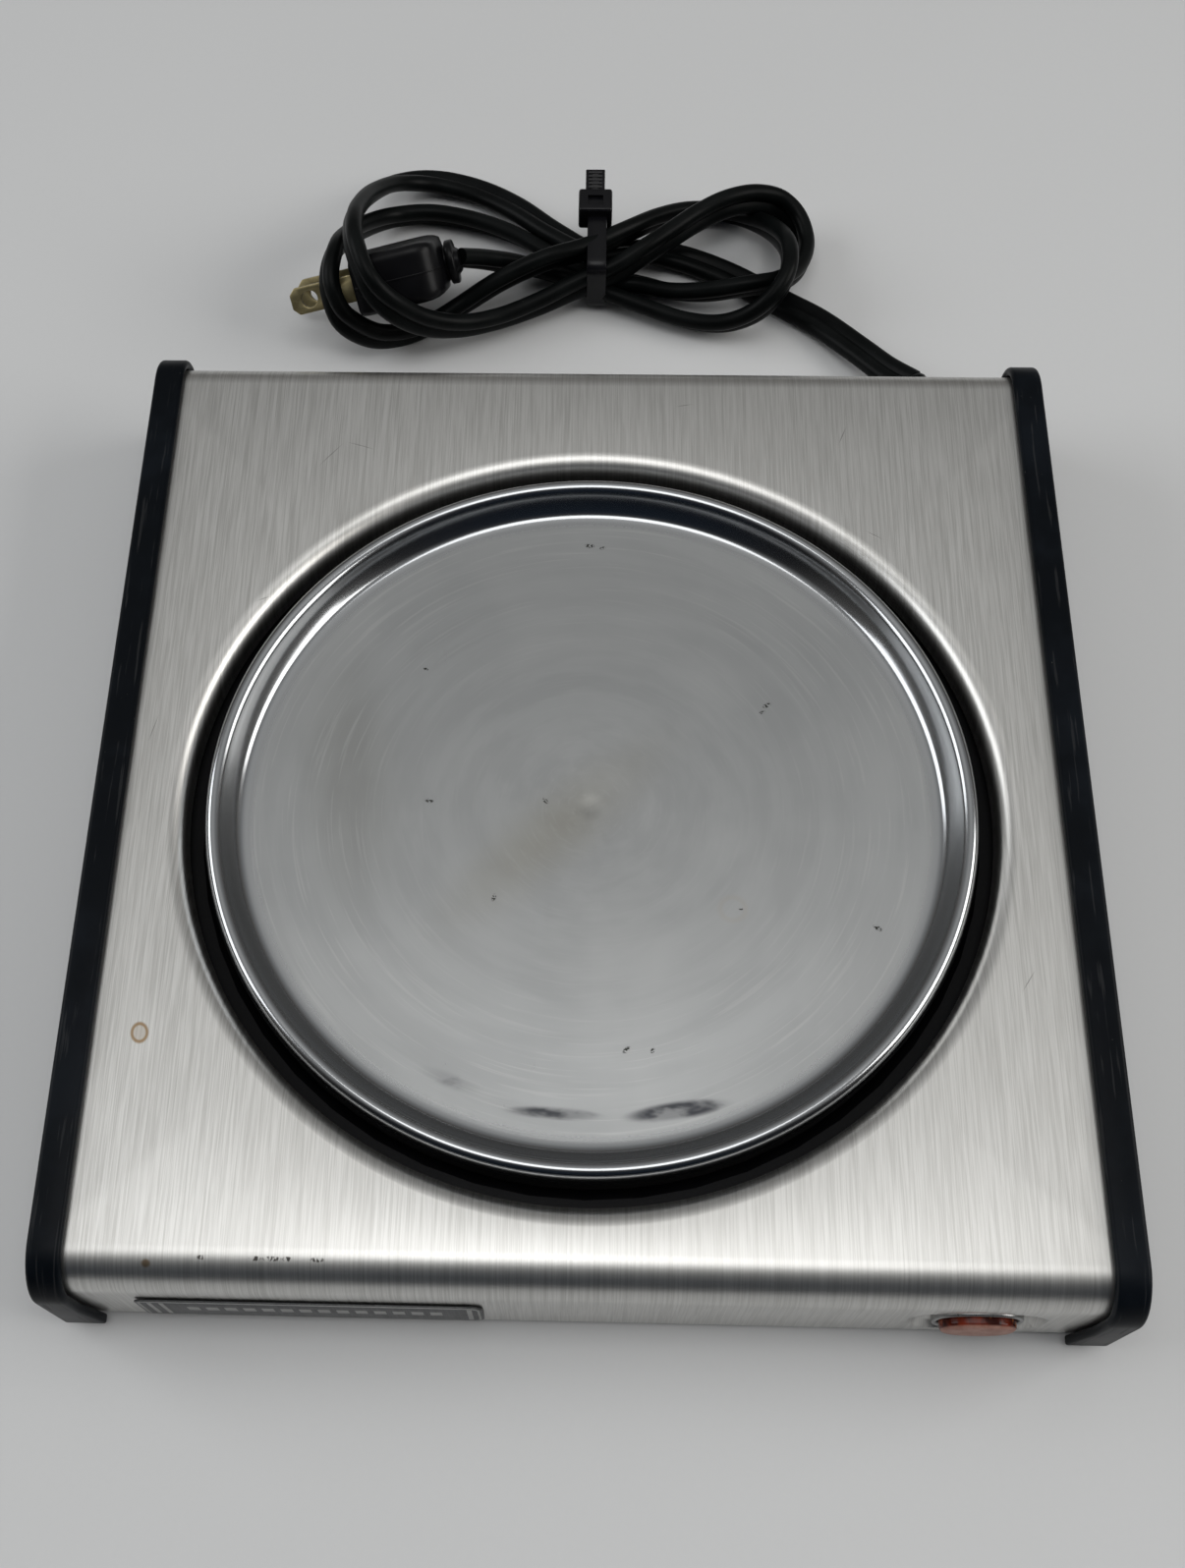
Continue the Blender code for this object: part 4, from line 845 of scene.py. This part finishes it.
THIRD_LOOP = [(-10.5, 161.6, 3.5, -48), (-20.9, 168.2, 3.7, -56), (-31.2, 172.6, 3.8, -60),
              (-42.6, 175.0, 3.9, -60), (-52.6, 173.2, 4.6, -60), (-59.4, 165.8, 8.8, -62),
              (-63.4, 154.2, 16.0, -64), (-64.4, 143.6, 21.6, -66), (-64.6, 135.6, 20.4, -72),
              (-61.8, 131.2, 14.2, -84), (-55.4, 131.6, 7.6, -98), (-48.2, 134.4, 4.6, -108),
              (-41.0, 138.8, 3.9, -114), (-33.4, 143.2, 5.8, -116), (-23.8, 146.8, 10.4, -114),
              (-13.0, 150.8, 13.2, -110), (-2.0, 155.8, 12.4, -108)]
FOURTH_LOOP = [(7.2, 162.2, 11.2, -110), (15.3, 169.8, 8.0, -115), (23.5, 175.2, 5.2, -122),
               (32.4, 176.6, 3.7, -124), (40.6, 172.0, 5.3, -118), (45.6, 163.6, 9.6, -106),
               (47.6, 153.5, 14.4, -94), (46.8, 145.2, 14.9, -84), (43.2, 140.2, 12.0, -74),
               (38.0, 138.2, 8.2, -62), (31.0, 138.4, 5.0, -54), (22.4, 140.8, 3.6, -50),
               (12.5, 144.8, 3.6, -50), (2.0, 149.4, 3.9, -50)]
PLUG_END = [(-8.5, 154.4, 3.8, -52), (-18.0, 156.0, 5.6, -54), (-27.0, 152.0, 12.0, -50),
            (-34.6, 147.0, 18.2, -42)]
LEAD_WIDTH = 7.8 * MM
BLADE_PITCH = 12.7 * MM

PLUG_FRAME = (place(-46.7 * MM, 144.0 * MM, 15.9 * MM) @ Matrix.Rotation(radians(8), 4, "Z")
              @ Matrix.Rotation(radians(-11), 4, "Y") @ Matrix.Rotation(radians(-42), 4, "X"))
RELIEF_PATH = [(84, 97.5, 9.5), (84, 101, 9.5), (84, 105.2, 9.5), (83.2, 109.5, 9.3),
               (80.6, 114, 8.6), (76.6, 118, 7.4)]


def across(direction, roll):
    """Unit vector over the lead's width, for a roll about its direction."""
    level = direction.cross(Vector((0, 0, 1))).normalized()
    return level * cos(roll) + level.cross(direction) * sin(roll)


def twin_section(width=LEAD_WIDTH, thick=4.1 * MM):
    """Section of a parallel twin lead: two round lobes with a groove each side."""
    r = thick / 2
    lobe = arc(width / 2 - r, 0, r, -126, 126, 10)
    return lobe + [(0, 0.62 * r)] + [(-x, y) for x, y in reversed(lobe)] + [(0, -0.62 * r)]


def mains_lead():
    route = LEAD_START + FIRST_LOOP + SECOND_LOOP + THIRD_LOOP + FOURTH_LOOP + PLUG_END
    line = smooth_line([(x * MM, y * MM, z * MM, radians(roll)) for x, y, z, roll in route], 7)
    centres = [p.to_3d() for p in line]
    section = twin_section()
    rows = []
    for k, centre in enumerate(centres):
        ahead = centres[min(k + 1, len(centres) - 1)] - centres[max(k - 1, 0)]
        ahead.normalize()
        wide = across(ahead, line[k][3])
        thin = ahead.cross(wide)
        rows.append([centre + wide * u + thin * v for u, v in section])
    obj = loft("mains_lead", rows, "black_rubber", angle=60)
    ride(obj, stands_for=["power_cord", "cord_hank_right", "cord_hank_left"])
    return obj, centres


def lead_relief():
    """Tapered, ribbed sleeve that bends with the lead, with a flange on the wall."""
    line = smooth_line([Vector(p) * MM for p in RELIEF_PATH], 8)
    total = len(line) - 1
    rows = []
    for k, centre in enumerate(line):
        ahead = (line[min(k + 1, total)] - line[max(k - 1, 0)]).normalized()
        level = ahead.cross(Vector((0, 0, 1))).normalized()
        up = level.cross(ahead)
        t = k / total
        out = centre.y + SHEET_FRONT
        flat = 1
        if out <= 0:
            reach = 4.6 * MM
        elif 0.3 * MM < out < 1.9 * MM:
            reach = 6.2 * MM
        else:
            rib = 0.35 * MM if k % 4 < 2 else 0
            reach = (4.7 - 1.0 * t) * MM - rib
            flat = 1 - 0.28 * t
        rows.append([centre + level * reach * cos(a) + up * reach * flat * sin(a)
                     for a in (2 * pi * j / 28 for j in range(28))])
    obj = loft("lead_relief", rows, "black_rubber", angle=50)
    ride(obj, stands_for=["strain_relief"])
    return obj


def moulded_plug():
    """Plug body: flat moulding with soft edges, a seam line, a waisted neck and a collar."""
    profile = [(-12.0, 11.2, 5.9), (-11.75, 11.9, 6.5), (-11.3, 12.3, 6.8), (-10, 12.5, 6.95),
               (-4, 12.5, 7), (2, 12.5, 7), (4.2, 12.3, 7), (6.0, 11.8, 6.9), (7.6, 10.8, 6.6),
               (8.8, 9.2, 6.1), (9.5, 7.2, 5.5), (9.8, 5.2, 4.6), (10.2, 4.4, 4.1), (10.5, 4.4, 4.1),
               (10.7, 5.0, 5.0), (10.9, 5.2, 5.2), (12.2, 5.2, 5.2), (12.5, 5.0, 5.0),
               (12.7, 4.3, 3.4), (13.6, 4.1, 2.6)]
    rows = []
    for x, half_y, half_z in profile:
        power = 11 if x < 9 else 2.3
        rows.append([PLUG_FRAME @ Vector((x * MM, y * MM, z * MM))
                     for y, z in oval(2 * half_y, 2 * half_z, 64, power)])
    body = loft("plug_moulding", rows, "plug_rubber", angle=48)
    side = [(x, y + 0.18) for x, y, _ in profile if x < 9.9]
    seam_outline = [(x * MM, y * MM) for x, y in side + [(x, -y) for x, y in reversed(side)]]
    seam = slab("plug_seam", seam_outline, 0.45 * MM, PLUG_FRAME, "plug_rubber")
    round_edges(seam, 0.12 * MM, 2)
    seam.parent = body
    ride(body, stands_for=["plug_body"])
    return body


def plug_blade(name, node, y, width):
    """Flat brass blade with chamfered tip corners and a hole."""
    face, length, chamfer, thick = -12 * MM, 16.6 * MM, 1.5 * MM, 1.5 * MM
    hole_x, hole_radius = face - 11.9 * MM, 2.0 * MM
    tip, half = face - length, width / 2
    outline = [(face + 1 * MM, -half), (face + 1 * MM, half), (tip + chamfer, half),
               (tip, half - chamfer), (tip, chamfer - half), (tip + chamfer, -half)]
    lying = PLUG_FRAME @ place(y=y) @ UPRIGHT
    obj = slab(name, outline, thick, lying, "brass")
    cut(obj, slab("hole", arc(hole_x, 0, hole_radius, 0, 352.5, 47), 4 * MM, lying))
    round_edges(obj, 0.22 * MM, 2)
    ride(obj, stands_for=[node])
    return obj


def bundle_tie():
    """Nylon tie: toothed strap round the bundle, ratchet head and the strap's cut end."""
    low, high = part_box("cable_tie")
    front, back, bottom, top = 146.0 * MM, 165.0 * MM, 0.4 * MM, 16.0 * MM
    knot = 161.4 * MM
    strap, wall, corner = 4.8 * MM, 1.3 * MM, 3.4 * MM

    def ring(inset):
        points = []
        for y, z, start in ((back - corner, top - corner, 0), (front + corner, top - corner, 90),
                            (front + corner, bottom + corner, 180), (back - corner, bottom + corner, 270)):
            points += arc(y, z, corner - inset, start, start + 90, 8)
        return points

    obj = slab("bundle_tie", ring(0), strap, ACROSS, "black_nylon")
    cut(obj, slab("inside", ring(wall), strap * 2, ACROSS))
    round_edges(obj, 0.28 * MM, 2, 50)
    lifted = place(x=-0.5 * MM, y=2.3 * MM, z=1.8 * MM)
    head = block("tie_head", (low.x, knot - 0.8 * MM, top - 6.4 * MM),
                 (high.x, knot + 6.4 * MM, top + 0.3 * MM), lifted, "black_nylon")
    round_edges(head, 0.7 * MM, 3)
    cut(head, block("window", (-1.9 * MM, knot + 0.9 * MM, top - 0.5 * MM),
                    (1.9 * MM, knot + 4.0 * MM, top + 2 * MM), lifted))
    shade(head, 40)
    raised = place(x=-0.6 * MM, y=knot + 4.6 * MM, z=top - 0.6 * MM) @ Matrix.Rotation(radians(24), 4, "X")
    tail = block("tie_tail", (-strap / 2, -2 * MM, -0.6 * MM), (strap / 2, 9.6 * MM, 0.6 * MM), raised,
                 "black_nylon")
    round_edges(tail, 0.2 * MM, 2)
    for k in range(8):
        y = 2.2 * MM + k * 0.9 * MM
        join(tail, block("tooth", (-1.7 * MM, y, 0.4 * MM), (1.7 * MM, y + 0.45 * MM, 0.9 * MM), raised))
    for part in (head, tail):
        part.parent = obj
    ride(obj, stands_for=["cable_tie"])
    return obj


# ---------------------------------------------------------------- carried-over nodes

NODE_FINISH = {
    "black_ceramic": ["insulating_ring"], "black_enamel": ["reflector_pan"],
    "element_sheath": ["heating_element"], "brown_phenolic": ["thermostat"],
    "white_sleeve": ["thermal_fuse"], "switch_plastic": ["switch_body"],
    "clear_glass": ["neon_lamp"], "white_ceramic": ["terminal_block"],
    "black_wire": ["lead_switch"], "white_wire": ["lead_element", "lead_return"],
    "brass": ["switch_terminal_line", "switch_terminal_load"],
    "grey_rubber": [f"foot_{end}_{side}" for end in ("front", "back") for side in ("left", "right")],
    "zinc_steel": ["base_plate", "element_clamp", "plate_stud", "stud_spacer", "spring_washer",
                   "plate_nut", "thermostat_strap"]
                  + [f"base_screw_{end}_{side}" for end in ("front", "back") for side in ("left", "right")],
}


def dress_nodes():
    for finish, names in NODE_FINISH.items():
        for name in names:
            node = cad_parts[name]
            node.data.materials.clear()
            node.data.materials.append(FINISHES[finish])
            shade(node, 35)


# ---------------------------------------------------------------- build

case_sheet()
end_cap("end_cap_left", -1)
end_cap("end_cap_right", 1)
spun_warming_plate()
button()
collar()
return_spring()
label_plate()
dress_nodes()

plug = moulded_plug()
blades = [plug_blade("blade_near", "plug_blade_near", -BLADE_PITCH / 2, 6.4 * MM),
          plug_blade("blade_far", "plug_blade_far", BLADE_PITCH / 2, 7.8 * MM)]
tie = bundle_tie()
relief = lead_relief()
lead, centreline = mains_lead()


# ---------------------------------------------------------------- floor, light and camera

SKY = [(0.0, (0.05, 0.048, 0.045)), (0.40, (0.10, 0.097, 0.094)), (0.66, (0.155, 0.155, 0.155)),
       (0.80, (0.20, 0.202, 0.202)), (0.90, (0.28, 0.281, 0.28)), (0.96, (0.36, 0.36, 0.357)),
       (0.985, (0.40, 0.40, 0.395)), (1.0, (0.46, 0.46, 0.455))]
SKY_TOP = (0.0, 0.12, 0.993)
SKY_STRENGTH = 1.6
FRONT_SHADE = [(0.06, (0.10, 0.15, 0.23)), (0.20, (0.17, 0.18, 0.20)), (0.36, (1.0, 1.0, 1.0))]


def pale_floor():
    work = bmesh.new()
    bmesh.ops.create_grid(work, x_segments=8, y_segments=8, size=3.0)
    obj = solid("pale_floor", work, "pale_sheet")
    obj.location.z = -0.02 * MM


def soft_light(name, at, target, size, power, colour=(1, 1, 1)):
    data = bpy.data.lights.new(name, "AREA")
    data.shape = "RECTANGLE"
    data.size, data.size_y = size
    data.energy = power
    data.color = colour
    obj = bpy.data.objects.new(name, data)
    bpy.context.scene.collection.objects.link(obj)
    obj.location = at
    obj.rotation_mode = "QUATERNION"
    obj.rotation_quaternion = (Vector(target) - Vector(at)).to_track_quat("-Z", "Y")


def studio_sky():
    """Sky that is brightest overhead and dark in front of the object."""
    world = bpy.data.worlds.new("studio_sky")
    bpy.context.scene.world = world
    world.use_nodes = True
    sky = Nodes(world.node_tree)
    direction = sky.node("ShaderNodeTexCoord", output="Generated")
    height = sky.node("ShaderNodeVectorMath", {"operation": "DOT_PRODUCT"},
                      {0: direction, 1: SKY_TOP}, "Value")
    behind = sky.node("ShaderNodeSeparateXYZ", None, {0: direction}, "Y") * 0.5 + 0.5
    glow = sky.node("ShaderNodeValToRGB", {"stops": SKY}, {0: height})
    front_shade = sky.node("ShaderNodeValToRGB", {"stops": FRONT_SHADE}, {0: behind})
    product = sky.node("ShaderNodeVectorMath", {"operation": "MULTIPLY"}, {0: glow, 1: front_shade})
    background = sky.tree.nodes["Background"]
    sky.plug(background.inputs["Color"], product)
    sky.plug(background.inputs["Strength"], SKY_STRENGTH)


def overhead_camera():
    data = bpy.data.cameras.new("camera")
    data.sensor_width = 36
    data.lens = 39.38
    data.shift_x, data.shift_y = 0.0354, 0.0312
    data.clip_start, data.clip_end = 0.01, 20
    obj = bpy.data.objects.new("camera", data)
    bpy.context.scene.collection.objects.link(obj)
    down, left, tilt = radians(65.073), radians(3.448), radians(-2.249)
    turn = (Matrix.Rotation(left, 4, "Z") @ Matrix.Rotation(pi / 2 - down, 4, "X")
            @ Matrix.Rotation(tilt, 4, "Z"))
    obj.matrix_world = place(-1.844 * MM, -158.228 * MM, 340.558 * MM) @ turn
    bpy.context.scene.camera = obj


pale_floor()
soft_light("left_light", (-1.3, 0.2, 0.8), (0, 0, 0), (1.1, 0.8), 8.4, (0.97, 0.985, 1.0))
soft_light("right_light", (1.3, 0.0, 0.8), (0, 0, 0), (1.1, 0.8), 11.4, (1.0, 0.985, 0.96))
soft_light("overhead", (0.0, -0.14, 1.3), (0, -0.14, 0), (0.80, 0.60), 3.5)
studio_sky()
overhead_camera()
bpy.context.scene.view_settings.view_transform = "Standard"
